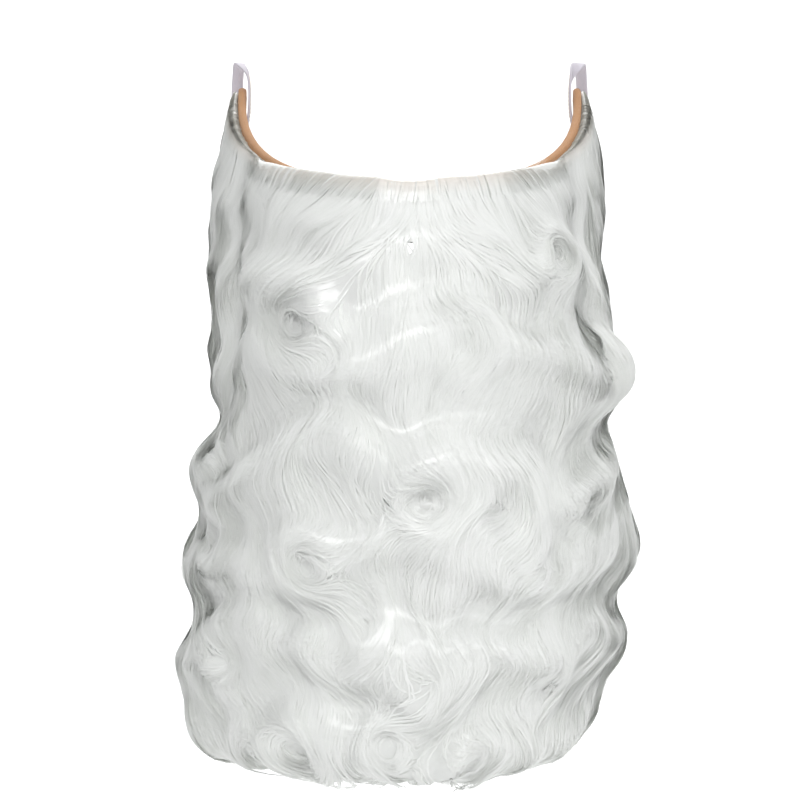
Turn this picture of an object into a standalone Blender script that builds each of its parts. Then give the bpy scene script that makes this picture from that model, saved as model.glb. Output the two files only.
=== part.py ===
"""Long white false beard with its moustache, worn on two elastic ear loops.

A stitched cloth backing wraps the lower face from ear to ear. Its upper edge is bound with tape, and
the waved hair is sewn to it in layers: two cheek pieces, the moustache, and two rows of beard.
Sizes are in millimetres and become metres when a mesh is made. The wearer looks along -Y, +Z is up,
and left and right are the wearer's, so left is +X. The origin lies midway between the ears, at the
height where the loops bear on them.
"""

import math

import bmesh
import bpy
import numpy as np
from mathutils import Vector

MM = 0.001
COLLECTION = "false_beard"

# Lower face that the backing is cut for: a half ellipse at each level, from ear to ear.
FACE_COLUMNS = ("z", "half_width", "front", "rear")
FACE_LEVELS = (
    (-8, 72, 100, -5),
    (-40, 72, 102, -5),
    (-62, 71, 104, -5),
    (-76, 70, 106, -5),
    (-86, 69, 105, -5),
    (-98, 67, 101, -5),
    (-112, 63, 102, -6),
    (-124, 58, 99, -8),
    (-136, 52, 94, -10),
    (-152, 49, 90, -12),
    (-190, 50, 91, -16),
)

# Back of the hair where it hangs free below the jaw.
CURTAIN_COLUMNS = ("z", "half_width", "front", "rear")
CURTAIN_LEVELS = (
    (-70, 60, 97, -7),
    (-130, 58, 97, -11),
    (-160, 63, 98, -22),
    (-190, 71, 101, -34),
    (-215, 76, 103, -42),
    (-240, 78, 103, -48),
    (-270, 71, 101, -56),
    (-308, 44, 92, -66),
)

# Outer form of the hair, with its right and left half widths, as the front view shows them.
FORM_COLUMNS = ("z", "right", "left", "front", "rear")
FORM_LEVELS = (
    (-8, 78, 78, 108, -4),
    (-40, 84, 84, 116, -3),
    (-62, 88, 84, 120, -3),
    (-82, 87, 85, 126, -3),
    (-110, 87, 88, 134, -5),
    (-124, 87, 94, 138, -7),
    (-137, 89, 98, 140, -10),
    (-151, 90, 97, 139, -16),
    (-165, 96, 91, 140, -20),
    (-178, 96, 94, 139, -25),
    (-191, 92, 97, 139, -30),
    (-212, 98, 97, 139, -38),
    (-228, 99, 93, 138, -44),
    (-243, 95, 92, 136, -49),
    (-256, 101, 89, 135, -52),
    (-268, 101, 82, 132, -55),
    (-280, 98, 77, 129, -57),
    (-292, 89, 73, 125, -60),
    (-300, 84, 68, 121, -62),
    (-308, 77, 61, 115, -64),
)

# Backing, its mouth slit and its binding tape.
EDGE_FRONT_Z = -60.0
EDGE_EAR_RISE = 47.0
EDGE_POWER = 2.6
NOSE_DIP = 2.5
NOSE_DIP_SPAN = 0.13
JAW_FRONT_Z = -134.0
JAW_EAR_RISE = 60.0
BACKING_THICK = 1.6
BACKING_COLUMNS = 34
BACKING_ROWS = 7
MOUTH_Z = -85.0
SLIT_WIDTH = 28.0
SLIT_HEIGHT = 8.0
MOUTH_GAP_WIDTH = 6.4
MOUTH_GAP_HEIGHT = 8.0
TAPE_LEG = 4.0
TAPE_THICK = 0.8
TAPE_CROWN = 0.9
TAPE_STATIONS = 44
GAP = 0.35
HAIR_GAP = 1.3
LOOP_GAP = 0.75

# Ear loops: flat elastic, sewn flat on the backing's corners. It leaves the cloth from y -5 to 0.
ELASTIC_WIDTH = 5.0
ELASTIC_THICK = 1.0
ELASTIC_STATIONS = 34
LAP_END_Y = -5.0
LOOP_COLUMNS = ("out", "y", "z", "turn")
LOOP_ROUTE = (
    (0, -12, -32, 0),
    (0, -10, -22, 0),
    (0, -8, -13, 0),
    (0.5, -6, -7, 8),
    (2.5, -2, -2, 60),
    (4, 6, 0, 88),
    (5, 16, -2.5, 90),
    (6, 24, -12, 90),
    (6.5, 26, -25, 90),
    (5.5, 23, -38, 90),
    (4, 16, -48, 88),
    (2, 7, -55, 60),
    (0.5, -1, -59, 8),
    (0, -9, -62, 0),
    (0, -19, -65, 0),
)

# Layers of hair. The curtain's levels take over from the face's between these depths below the jaw.
CURTAIN_START, CURTAIN_FULL = 4.0, 48.0
CHEEK_LIMIT = 0.664
CHEEK_SEAM = 0.004
WAVE_LENGTH = 38.0
WAVE_HEIGHT = 3.4
GROOVE_DEPTH = 3.0
LOCK_SWAY = 7.0
PHASE_SWINGS = ((1.3, 5.1), (0.7, 11.3))
LOCK_WIDTH_SPREAD = 0.22
TIP_SCALLOP = 6.0
COLUMNS_PER_LOCK = 4
ROOT_ROUNDING = 20.0
RIM_ROUNDING = 11.0
SHOULDER_START = 3.0
SHOULDER = 12.0
RELIEF_START, RELIEF_FULL = 8.0, 45.0
SIDE_ROUNDING = 0.14
SIDE_CALM = 0.7
SIDE_CALM_START, SIDE_CALM_FULL = 0.62, 0.9
LEAST_THICK = 1.5
LAYER_GAP = 2.3
LAYER_SHARE = 0.80
SIDE_SHARE_LOSS = 0.30
UPPER_RIM_Z = -150.0
CHEEK_RIM_DROP = 6.0
MIDDLE_RIM_Z = -228.0
LOWER_RIM_Z = -308.0
LOWER_RIM_RISE = 6.0
MIDDLE_ROOT_Z = -96.0
LOWER_ROOT_Z = -128.0
SIDE_ROOT_DROP = 18.0

# A row for each layer: locks across it, rows of points hidden and shown, and the height of a wave crest.
LAYER_COLUMNS = ("locks", "hidden_rows", "shown_rows", "crest", "drift")
LAYERS = {
    "cheek": (3, 0, 17, -130, 0.0),
    "moustache": (10, 0, 15, -130, 0.6),
    "upper_row": (14, 6, 15, -173, 2.3),
    "lower_row": (14, 6, 17, -249, 4.1),
}

# Large roll curls that stand out of the waves, by their place in the front view. The ring and its
# dimple are stated in shares of the curl's radius and height.
RING_AT, RING_WIDTH = 0.6, 0.34
DIMPLE_DEPTH, DIMPLE_WIDTH = 0.6, 0.3
CURL_COLUMNS = ("x", "z", "radius", "height")
CURLS = (
    (60, -88, 15, 3.0),
    (-47, -118, 24, 3.5),
    (22, -128, 17, 2.5),
    (78, -134, 20, 3.0),
    (-80, -165, 15, 3.0),
    (8, -188, 19, 3.5),
    (34, -190, 19, 3.5),
    (74, -190, 17, 3.0),
    (-45, -215, 17, 3.0),
    (-70, -246, 17, 2.5),
    (58, -218, 16, 3.0),
    (50, -262, 16, 3.0),
    (4, -256, 20, 3.0),
    (-45, -288, 18, 4.0),
    (-10, -284, 16, 3.0),
    (26, -294, 14, 3.0),
)


def linear(hex_colour):
    """An sRGB hex colour as linear RGBA."""
    parts = [int(hex_colour[i : i + 2], 16) / 255 for i in (1, 3, 5)]
    return [p / 12.92 if p <= 0.04045 else ((p + 0.055) / 1.055) ** 2.4 for p in parts] + [1.0]


def make_material(name, hex_colour, roughness):
    material = bpy.data.materials.new(name)
    material.use_nodes = True
    shader = material.node_tree.nodes["Principled BSDF"]
    shader.inputs["Base Color"].default_value = linear(hex_colour)
    shader.inputs["Roughness"].default_value = roughness
    shader.inputs["Metallic"].default_value = 0.0
    return material


def ramp(value, start, end):
    """0 at start, 1 at end, and smooth between."""
    t = np.clip((value - start) / (end - start), 0.0, 1.0)
    return t * t * (3 - 2 * t)


def level(table, columns, name, z):
    """A column of a table of levels at height z, on a smooth curve through its rows."""
    rows = sorted(table)
    heights = np.array([row[0] for row in rows], float)
    values = np.array([row[columns.index(name)] for row in rows], float)
    slopes = np.gradient(values, heights)
    z = np.clip(z, heights[0], heights[-1])
    i = np.clip(np.searchsorted(heights, z) - 1, 0, len(heights) - 2)
    span = heights[i + 1] - heights[i]
    t = (z - heights[i]) / span
    rise = values[i + 1] - values[i]
    start, end = slopes[i] * span, slopes[i + 1] * span
    return values[i] + start * t + (3 * rise - 2 * start - end) * t**2 + (start + end - 2 * rise) * t**3


def section(half_width, front, rear, s):
    """A point of a half ellipse: s runs from -1 at the right ear, past 0 in front, to 1 at the left."""
    angle = s * math.pi / 2
    return half_width * np.sin(angle), rear - (front + rear) * np.cos(angle)


def stacked(x, y, z):
    return np.stack(np.broadcast_arrays(x, y, z), axis=-1)


def face_surface(s, z):
    width, front, rear = (level(FACE_LEVELS, FACE_COLUMNS, n, z) for n in FACE_COLUMNS[1:])
    return stacked(*section(width, front, rear, s), z)


def outward(surface, s, z, step=0.02):
    """Unit normals of a surface, pointing away from the face."""
    across = surface(s + step, z) - surface(s - step, z)
    along = surface(s, z + step * 50) - surface(s, z - step * 50)
    normal = np.cross(across, along)
    return normal / np.linalg.norm(normal, axis=-1, keepdims=True)


def face_offset(s, z, distance):
    return face_surface(s, z) + outward(face_surface, s, z) * np.asarray(distance)[..., None]


def upper_edge(s):
    """Height of the backing's upper edge, from ear to ear under the nose."""
    dip = NOSE_DIP * np.exp(-((s / NOSE_DIP_SPAN) ** 2))
    return EDGE_FRONT_Z + EDGE_EAR_RISE * np.abs(s) ** EDGE_POWER - dip


def lower_edge(s):
    """Height of the backing's lower edge, along the jaw and under the chin."""
    return JAW_FRONT_Z + JAW_EAR_RISE * s**2


def hair_back(s, z):
    """The hair's hidden side: on the backing, and below the jaw the back of the curtain."""
    near_edge = 1 - ramp(upper_edge(s) - z, TAPE_LEG + 2, TAPE_LEG + 6)
    clear = BACKING_THICK + HAIR_GAP + (TAPE_THICK + GAP) * near_edge
    on_face = face_offset(s, z, clear)
    width, front, rear = (level(CURTAIN_LEVELS, CURTAIN_COLUMNS, n, z) for n in CURTAIN_COLUMNS[1:])
    hanging = stacked(*section(width, front, rear, s), z)
    share = ramp(lower_edge(s) - z, CURTAIN_START, CURTAIN_FULL)[..., None]
    return on_face * (1 - share) + hanging * share


def hair_form(s, z):
    """The hair's outer form before its waves and locks are added."""
    right, left, front, rear = (level(FORM_LEVELS, FORM_COLUMNS, n, z) for n in FORM_COLUMNS[1:])
    return stacked(*section(np.where(s < 0, right, left), front, rear, s), z)


def arc_speed(s):
    """Millimetres along the form's section for each unit of s, halfway down the beard."""
    angle = s * math.pi / 2
    _, right, left, front, rear = FORM_LEVELS[len(FORM_LEVELS) // 2]
    return math.pi / 2 * np.hypot((right + left) / 2 * np.cos(angle), (front + rear) * np.sin(angle))


def lock_variation(lock, which):
    """A fixed number from -1 to 1 that differs from lock to lock."""
    return 2 * ((np.sin(12.9898 * (np.asarray(lock) + 1) + 78.233 * which) * 43758.5453) % 1.0) - 1


def curl_relief(x, z):
    """Height that the roll curls add to the form: a raised ring round a dimple."""
    height = np.zeros_like(z)
    for row in CURLS:
        curl = dict(zip(CURL_COLUMNS, row))
        away = np.hypot(x - curl["x"], z - curl["z"]) / curl["radius"]
        ring = np.exp(-(((away - RING_AT) / RING_WIDTH) ** 2))
        dimple = DIMPLE_DEPTH * np.exp(-((away / DIMPLE_WIDTH) ** 2))
        height += curl["height"] * (ring - dimple)
    return height


def upper_rim(s):
    return UPPER_RIM_Z - CHEEK_RIM_DROP * ramp(np.abs(s), 0.5, 0.9)


def middle_rim(s):
    return MIDDLE_RIM_Z + 0 * s


def lower_rim(s):
    return LOWER_RIM_Z + LOWER_RIM_RISE * np.abs(s) ** 3


def middle_root(s):
    return MIDDLE_ROOT_Z - SIDE_ROOT_DROP * ramp(np.abs(s), 0.45, 0.9)


def lower_root(s):
    return LOWER_ROOT_Z - SIDE_ROOT_DROP * ramp(np.abs(s), 0.45, 0.9)


def split(s, z, thick, root, rim):
    """Distance from the back at which the layer rooted at root ends and the one over it starts."""
    most = LAYER_SHARE - SIDE_SHARE_LOSS * ramp(np.abs(s), 0.5, 0.85)
    share = most * thick * ramp(root(s) - z, 0.0, root(s) - rim(s))
    return np.maximum(share, LEAST_THICK * ramp(root(s) - z, -9.0, -2.0))


def locks_across(count, limits, drift):
    """Columns across a layer: their s, their lock's number and their place on the lock's back."""
    column = np.arange(count * COLUMNS_PER_LOCK + 1)
    lock = np.minimum(column // COLUMNS_PER_LOCK, count - 1)
    width = 1 + LOCK_WIDTH_SPREAD * lock_variation(lock[:-1], 2 + drift)
    across = np.r_[0, np.cumsum(width)] / np.sum(width)
    crown = np.sin(math.pi * (column % COLUMNS_PER_LOCK) / COLUMNS_PER_LOCK) ** 0.7
    return limits[0] + (limits[1] - limits[0]) * across, lock, crown


def rows_down(hidden_rows, shown_rows, hidden_share):
    """Fractions of the way from root line to rim: a few rows where hidden, more where shown."""
    hidden = np.linspace(0, hidden_share, hidden_rows, endpoint=False)
    return np.r_[hidden, np.linspace(hidden_share, 1, shown_rows)][:, None]


def hair_layer(kind, limits, root, rim, over=None, under=None):
    """Outer and inner grids of one layer of hair, from its root line down to its rim.

    over is the (root, rim) of the layer that hides this one's upper part, and under is the root of
    the layer beneath it.
    """
    layer = dict(zip(LAYER_COLUMNS, LAYERS[kind]))
    locks, crest, drift = layer["locks"], layer["crest"], layer["drift"]
    s, lock, crown = locks_across(locks, limits, drift)
    hidden_share = 0.0 if over is None else (root(0.0) - over[1](0.0) - 5) / (root(0.0) - rim(0.0))
    down = rows_down(layer["hidden_rows"], layer["shown_rows"], hidden_share)
    rim_line = rim(s) - TIP_SCALLOP * (crown - 1) * (0.7 + 0.3 * lock_variation(lock, 3))
    z = root(s) + (rim_line - root(s)) * down
    phase = sum(swing * np.sin(turns * s + turns * drift / 5) for swing, turns in PHASE_SWINGS)
    wave = 2 * math.pi * (crest - z) / WAVE_LENGTH + phase
    shown = np.ones_like(z)
    if over is not None:
        shown = ramp(over[1](s) - z, SHOULDER_START, SHOULDER_START + SHOULDER)
    calm = ramp(root(s) - z, RELIEF_START, RELIEF_FULL) * shown
    sway = LOCK_SWAY / arc_speed(s) * np.sin(wave) * calm
    s = s + sway * side_rounding(s, limits, 0.3)

    back, form = hair_back(s, z), hair_form(s, z)
    through = form - back
    thick = np.maximum(np.linalg.norm(through, axis=-1), LEAST_THICK)
    through = through / np.linalg.norm(through, axis=-1, keepdims=True)
    inner = np.zeros_like(z)
    if under is not None:
        inner = split(s, z, thick, under, rim) + LAYER_GAP * ramp(under(s) - z, -14.0, -9.0)
    outer = thick.copy()
    if over is not None:
        hidden = split(s, z, thick, *over)
        outer = hidden + (thick - hidden) * shown
    at_side = 1 - SIDE_CALM * ramp(np.abs(s), SIDE_CALM_START, SIDE_CALM_FULL)
    outer = outer + (WAVE_HEIGHT * np.cos(wave) + curl_relief(form[..., 0], z)) * calm * at_side
    outer = outer + GROOVE_DEPTH * (crown - 1) * ramp(calm, 0.0, 0.4)

    # Rounded where the hair leaves its root line, at the rim and along the two sides.
    rounding = np.ones_like(z)
    if over is None:
        from_root = np.clip((root(s) - z) / ROOT_ROUNDING, 0, 1)
        rounding *= np.sqrt(1 - (1 - from_root) ** 2) * 0.94 + 0.06
    from_rim = np.clip((z - rim_line) / RIM_ROUNDING, 0, 1)
    rounding *= np.sqrt(1 - (1 - from_rim) ** 2)
    half = (limits[1] - limits[0]) / 2
    rounding *= side_rounding(s, limits, SIDE_ROUNDING if half > 0.9 else min(0.09, half * 0.5))
    outer = np.maximum(inner + (outer - inner) * rounding, inner + LEAST_THICK)
    return back + through * outer[..., None], back + through * inner[..., None]


def side_rounding(s, limits, span):
    """1 across a layer, falling to 0 in a quarter circle within span of its two sides."""
    middle, half = (limits[0] + limits[1]) / 2, (limits[1] - limits[0]) / 2
    near = np.clip((half - np.abs(s - middle)) / span, 0, 1)
    return np.sqrt(1 - (1 - near) ** 2)


def add_object(name, mesh, material, collection):
    mesh.materials.append(material)
    mesh.shade_smooth()
    mesh.set_sharp_from_angle(angle=math.radians(50))
    piece = bpy.data.objects.new(name, mesh)
    collection.objects.link(piece)
    return piece


def finish_mesh(name, bm):
    bmesh.ops.recalc_face_normals(bm, faces=bm.faces)
    mesh = bpy.data.meshes.new(name)
    bm.to_mesh(mesh)
    bm.free()
    return mesh


def grid_faces(bm, verts):
    """Quads over a grid of vertices, given row by row."""
    for upper, lower in zip(verts, verts[1:]):
        for i in range(len(upper) - 1):
            bm.faces.new((upper[i], upper[i + 1], lower[i + 1], lower[i]))


def make_slab(name, outer, inner, material, collection):
    """A solid from a grid to its inner grid, which keeps every other row and column only."""
    bm = bmesh.new()
    fine, coarse = (
        [[bm.verts.new(Vector(p) * MM) for p in row[::step]] for row in grid[::step]]
        for grid, step in ((outer, 1), (inner, 2))
    )
    grid_faces(bm, fine)
    grid_faces(bm, coarse)
    borders = [(fine[end], coarse[end]) for end in (0, -1)]
    borders += [([row[end] for row in fine], [row[end] for row in coarse]) for end in (0, -1)]
    for near, far in borders:
        for i in range(len(far) - 1):
            bm.faces.new((*near[2 * i : 2 * i + 3], far[i + 1], far[i]))
    return add_object(name, finish_mesh(name, bm), material, collection)


def make_sweep(name, rings, material, collection):
    """A solid swept through rings of the same number of points, with flat ends."""
    bm = bmesh.new()
    rows = [[bm.verts.new(Vector(p) * MM) for p in ring] for ring in rings]
    grid_faces(bm, [row + row[:1] for row in rows])
    bm.faces.new(rows[0])
    bm.faces.new(rows[-1])
    return add_object(name, finish_mesh(name, bm), material, collection)


def slit_cutter(name, width, height, reach, collection):
    """A lens standing across the mouth, pointed at both ends, that cuts along Y."""
    outline = bpy.data.curves.new(name, "CURVE")
    outline.dimensions = "2D"
    outline.fill_mode = "BOTH"
    outline.extrude = (reach[1] - reach[0]) / 2 * MM
    outline.resolution_u = 6
    lens = outline.splines.new("BEZIER")
    lens.bezier_points.add(3)
    lens.use_cyclic_u = True
    half, tall = width / 2 * MM, height / 2 * MM
    places = ((-half, 0), (0, tall), (half, 0), (0, -tall))
    for point, (x, y) in zip(lens.bezier_points, places):
        point.co = (x, y, 0)
        point.handle_left_type = point.handle_right_type = "AUTO"
    shape = bpy.data.objects.new(name, outline)
    collection.objects.link(shape)
    shape.location = Vector((0, (reach[0] + reach[1]) / 2, MOUTH_Z)) * MM
    shape.rotation_euler.x = math.pi / 2
    bpy.context.view_layer.update()
    evaluated = shape.evaluated_get(bpy.context.evaluated_depsgraph_get())
    mesh = bpy.data.meshes.new_from_object(evaluated)
    bm = bmesh.new()
    bm.from_mesh(mesh)
    bmesh.ops.remove_doubles(bm, verts=bm.verts, dist=1e-6)
    bmesh.ops.recalc_face_normals(bm, faces=bm.faces)
    bm.to_mesh(mesh)
    bm.free()
    cutter = bpy.data.objects.new(name + "_solid", mesh)
    cutter.matrix_world = shape.matrix_world
    collection.objects.link(cutter)
    bpy.data.objects.remove(shape)
    cutter.hide_render = True
    cutter.display_type = "WIRE"
    return cutter


def cut(piece, cutter):
    boolean = piece.modifiers.new("mouth", "BOOLEAN")
    boolean.operation = "DIFFERENCE"
    boolean.object = cutter


def make_backing(material, collection, cutter):
    """Cloth cut to the lower face, an open surface made 1.6 mm thick outwards."""
    s = np.linspace(-1, 1, BACKING_COLUMNS + 1)
    down = np.linspace(0, 1, BACKING_ROWS + 1)[:, None]
    z = upper_edge(s) + (lower_edge(s) - upper_edge(s)) * down
    bm = bmesh.new()
    verts = [[bm.verts.new(Vector(p) * MM) for p in row] for row in face_surface(s + 0 * z, z)]
    grid_faces(bm, verts)
    mesh = bpy.data.meshes.new("backing")
    bmesh.ops.recalc_face_normals(bm, faces=bm.faces)
    bm.faces.ensure_lookup_table()
    middle = bm.faces[BACKING_COLUMNS // 2]
    if middle.normal.y > 0:
        bmesh.ops.reverse_faces(bm, faces=bm.faces)
    bm.to_mesh(mesh)
    bm.free()
    backing = add_object("backing", mesh, material, collection)
    thicken = backing.modifiers.new("cloth", "SOLIDIFY")
    thicken.thickness = BACKING_THICK * MM
    thicken.offset = 1.0
    thicken.use_even_offset = True
    cut(backing, cutter)
    return backing


def make_binding(material, collection):
    """Tape folded over the backing's upper edge, a leg on each face of the cloth."""
    legs = BACKING_THICK / 2 + GAP
    profile = (
        (legs + TAPE_THICK, -TAPE_LEG),
        (legs + TAPE_THICK, TAPE_CROWN),
        (0.0, GAP + TAPE_THICK + TAPE_CROWN),
        (-legs - TAPE_THICK, TAPE_CROWN),
        (-legs - TAPE_THICK, -TAPE_LEG),
        (-legs, -TAPE_LEG),
        (-legs, GAP),
        (legs, GAP),
        (legs, -TAPE_LEG),
    )
    rings = []
    for s in np.linspace(-1, 1, TAPE_STATIONS + 1):
        z = upper_edge(s)
        step = 0.01
        at = face_surface(s, z)
        along = face_surface(s + step, upper_edge(s + step)) - face_surface(s - step, upper_edge(s - step))
        normal = outward(face_surface, s, z)
        rise = np.cross(along, normal)
        rise *= math.copysign(1.0, rise[2]) / np.linalg.norm(rise)
        rings.append([at + normal * (out + BACKING_THICK / 2) + rise * up for out, up in profile])
    return make_sweep("edge_binding", rings, material, collection)


def smooth_route(rows, stations):
    """Points and the last column's value, evenly spaced on a smooth curve through a table's rows."""
    rows = np.array(rows, float)
    ends = np.vstack([2 * rows[0] - rows[1], rows, 2 * rows[-1] - rows[-2]])
    fine = []
    for a, b, c, d in zip(ends, ends[1:], ends[2:], ends[3:]):
        for t in np.linspace(0, 1, 12, endpoint=False):
            fine.append(b + (c - a) / 2 * t + (a - 2.5 * b + 2 * c - d / 2) * t**2
                        + (1.5 * (b - c) + (d - a) / 2) * t**3)
    fine = np.array(fine + [rows[-1]])
    length = np.r_[0, np.cumsum(np.linalg.norm(np.diff(fine[:, :3], axis=0), axis=1))]
    even = np.linspace(0, length[-1], stations)
    return np.stack([np.interp(even, length, fine[:, i]) for i in range(fine.shape[1])], axis=1)


def make_ear_loop(name, side, material, collection):
    """Flat elastic from the backing's upper corner over and behind the ear to its lower corner.

    The band lies flat inside the backing at both ends and turns a quarter where it rounds the ear.
    """
    route = dict(zip(LOOP_COLUMNS, smooth_route(LOOP_ROUTE, ELASTIC_STATIONS).T))
    out, y, z, turn = (route[name] for name in LOOP_COLUMNS)
    lap = LOOP_GAP + ELASTIC_THICK / 2
    inside = ramp(y, 0.0, LAP_END_Y)
    _, _, face_front, face_rear = FACE_LEVELS[0]
    wall_s = np.arccos(np.clip((face_rear - y) / (face_front + face_rear), 0, 1)) / (math.pi / 2)
    wall_x = face_offset(wall_s, z, np.full_like(z, -lap))[:, 0]
    tape = (TAPE_THICK + GAP) * ramp(upper_edge(wall_s) - z, TAPE_LEG + 8, TAPE_LEG + 1) * inside
    points = np.stack([side * (wall_x + out - tape), y, z], axis=1)
    rings = []
    for i, point in enumerate(points):
        ahead, behind = points[min(i + 1, len(points) - 1)], points[max(i - 1, 0)]
        along = (ahead - behind) / np.linalg.norm(ahead - behind)
        sideways = np.array([side, 0.0, 0.0]) - along * along[0] * side
        sideways /= np.linalg.norm(sideways)
        flat = np.cross(along, sideways)
        angle = math.radians(turn[i])
        across = flat * math.cos(angle) + sideways * math.sin(angle)
        through = np.cross(along, across)
        corners = ((1, 1), (-1, 1), (-1, -1), (1, -1))
        rings.append([point + across * a * ELASTIC_WIDTH / 2 + through * b * ELASTIC_THICK / 2
                      for a, b in corners])
    return make_sweep(name, rings, material, collection)


def make_hair(material, collection, cutter):
    """Two cheek pieces and three layers over each other, the moustache on top."""
    cheek_start = CHEEK_LIMIT + CHEEK_SEAM
    upper = {"root": hair_top, "rim": upper_rim, "under": middle_root}
    for name, limits in (
        ("cheek_hair_right", (-1.0, -cheek_start)),
        ("cheek_hair_left", (cheek_start, 1.0)),
    ):
        make_slab(name, *hair_layer("cheek", limits, **upper), material, collection)
    grids = hair_layer("moustache", (-CHEEK_LIMIT, CHEEK_LIMIT), **upper)
    moustache = make_slab("moustache", *grids, material, collection)
    cut(moustache, cutter)
    whole = (-1.0, 1.0)
    grids = hair_layer("upper_row", whole, middle_root, middle_rim, (middle_root, upper_rim), lower_root)
    make_slab("beard_upper_row", *grids, material, collection)
    grids = hair_layer("lower_row", whole, lower_root, lower_rim, (lower_root, middle_rim))
    make_slab("beard_lower_row", *grids, material, collection)


def hair_top(s):
    """Root line of the top layer, just below the crown of the tape."""
    return upper_edge(s) - 0.5


def main():
    for old in list(bpy.data.objects):
        bpy.data.objects.remove(old)
    parts = bpy.data.collections.new(COLLECTION)
    cutters = bpy.data.collections.new("cutters")
    for collection in (parts, cutters):
        bpy.context.scene.collection.children.link(collection)

    hair = make_material("hair", "#F1F2EF", 0.35)
    cloth = make_material("backing_cloth", "#E2B08C", 0.9)
    tape = make_material("binding_tape", "#D59C62", 0.8)
    elastic = make_material("elastic", "#DAD5DB", 0.7)

    slit = slit_cutter("mouth_slit", SLIT_WIDTH, SLIT_HEIGHT, (-120.0, -90.0), cutters)
    opening = slit_cutter("mouth_gap", MOUTH_GAP_WIDTH, MOUTH_GAP_HEIGHT, (-150.0, -90.0), cutters)
    make_backing(cloth, parts, slit)
    make_binding(tape, parts)
    make_ear_loop("ear_loop_left", 1, elastic, parts)
    make_ear_loop("ear_loop_right", -1, elastic, parts)
    make_hair(hair, parts, opening)


main()
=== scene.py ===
"""Looks of the long white false beard: locks of waved hair over its cloth backing, tape and ear loops."""

import math

import bmesh
import bpy
import numpy as np
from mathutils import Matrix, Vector
from mathutils.bvhtree import BVHTree


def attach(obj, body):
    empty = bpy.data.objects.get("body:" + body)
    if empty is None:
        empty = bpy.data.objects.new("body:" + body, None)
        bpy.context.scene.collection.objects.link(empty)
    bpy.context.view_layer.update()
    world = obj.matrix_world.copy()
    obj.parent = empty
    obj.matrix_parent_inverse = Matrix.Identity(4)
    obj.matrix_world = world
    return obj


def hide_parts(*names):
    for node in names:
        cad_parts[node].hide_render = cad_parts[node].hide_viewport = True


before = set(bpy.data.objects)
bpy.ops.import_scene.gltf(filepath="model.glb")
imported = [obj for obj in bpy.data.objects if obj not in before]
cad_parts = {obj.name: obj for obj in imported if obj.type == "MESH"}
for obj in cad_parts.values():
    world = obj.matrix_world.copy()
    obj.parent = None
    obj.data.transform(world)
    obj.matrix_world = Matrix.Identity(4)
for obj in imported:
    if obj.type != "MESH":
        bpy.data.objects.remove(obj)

bl_info = {
    "name": "False Beard",
    "blender": (4, 5, 0),
    "version": (1, 0, 0),
    "location": "View3D > Sidebar > Beard",
    "description": "Builds the hair, cloth and stage of a long white false beard",
    "category": "Object",
}

MM = 0.001
HAIR_NODES = ("moustache", "cheek_hair_left", "cheek_hair_right", "beard_upper_row", "beard_lower_row")

# Centre of the spokes that the hair's form is measured along, by height; then how far round they go
# and their steps in degrees and millimetres, their lowest and highest level, and their reach.
SPOKE_COLUMNS = ("z", "y")
SPOKES = ((-310, -65), (-235, -45), (-190, -29), (-150, -14), (-110, -4), (0, -3))
TURN_LIMIT = 99.0
TURN_STEP = 1.5
LEVEL_STEP = 2.5
LEVELS = (-314.0, -6.0)
SPOKE_REACH = 250.0

# Roll curls that the hair runs round: centre and radius as the front view shows them, which way the
# hair goes (1 is clockwise), how strongly it is drawn in, and how far the ring stands out.
CURL_COLUMNS = ("x", "z", "radius", "way", "pull", "rise")
CURLS = (
    (60, -88, 14, 1, 1.15, 3.0),
    (-48, -116, 26, -1, 0.72, 4.6),
    (24, -128, 20, 1, 0.35, 2.5),
    (80, -136, 20, 1, 0.6, 3.5),
    (-82, -167, 15, -1, 0.6, 3.0),
    (8, -188, 22, 1, 0.85, 4.2),
    (38, -190, 20, 1, 0.5, 3.2),
    (74, -192, 17, 1, 0.45, 3.2),
    (-42, -212, 19, -1, 0.85, 3.5),
    (-78, -206, 18, 1, 0.45, 3.0),
    (56, -214, 15, 1, 0.5, 3.0),
    (-72, -250, 22, 1, 0.55, 3.8),
    (-30, -248, 18, -1, 0.45, 3.2),
    (52, -262, 17, -1, 0.55, 3.4),
    (8, -258, 24, 1, 0.5, 4.0),
    (-45, -287, 18, 1, 1.15, 4.2),
    (-10, -284, 15, -1, 0.9, 3.5),
    (27, -292, 15, 1, 0.7, 3.5),
)

# The finger waves of each layer, from its lowest height up: height of a crest, the spread of the
# section, their drift, and how far they swing the hair and raise it.
WAVE_COLUMNS = ("from_z", "crest", "section", "drift", "swing", "relief")
WAVES = (
    (-146, -130, 1.47, 0.6, 0.55, 2.3),
    (-224, -173, 1.75, 2.3, 0.70, 2.9),
    (-400, -249, 1.95, 4.1, 0.75, 3.0),
)

# The blend from one layer's waves to the next, the length of a wave, and the swings of its phase
# round the beard: size and turns.
WAVE_BLEND = 9.0
WAVE_LENGTH = 38.0
PHASE_SWINGS = ((1.3, 5.1), (0.7, 11.3))

# Where a curl's ring stands out, as shares of its radius, how far the hair turns in along it, and the
# rings of locks that start round it: share of its radius, and number of locks; and their half width.
RING_AT, RING_WIDTH = 0.6, 0.34
TURNING_IN = 0.24
CURL_RINGS = ((0.45, 4), (0.75, 5), (1.0, 6))
CURL_LOCK_WIDTH = 5

# Ridges of the separate locks, combed along the hair: grid steps, grain, reach, height and seed.
RIDGE_TURN, RIDGE_LEVEL = 0.9, 1.5
RIDGE_GRAIN = 3.2
RIDGE_REACH = 22.0
RIDGE_HEIGHT = 1.1
RIDGE_SEED = 5

# The parting in front: how far it swings the hair out in radians, the turns where that is full and
# over which it changes side, and the heights that it fades between.
PARTING_SWING, PARTING_TURN, PARTING_EDGE, PARTING_LEVELS = 0.95, 17.0, 8.0, (-122.0, -76.0)

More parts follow.
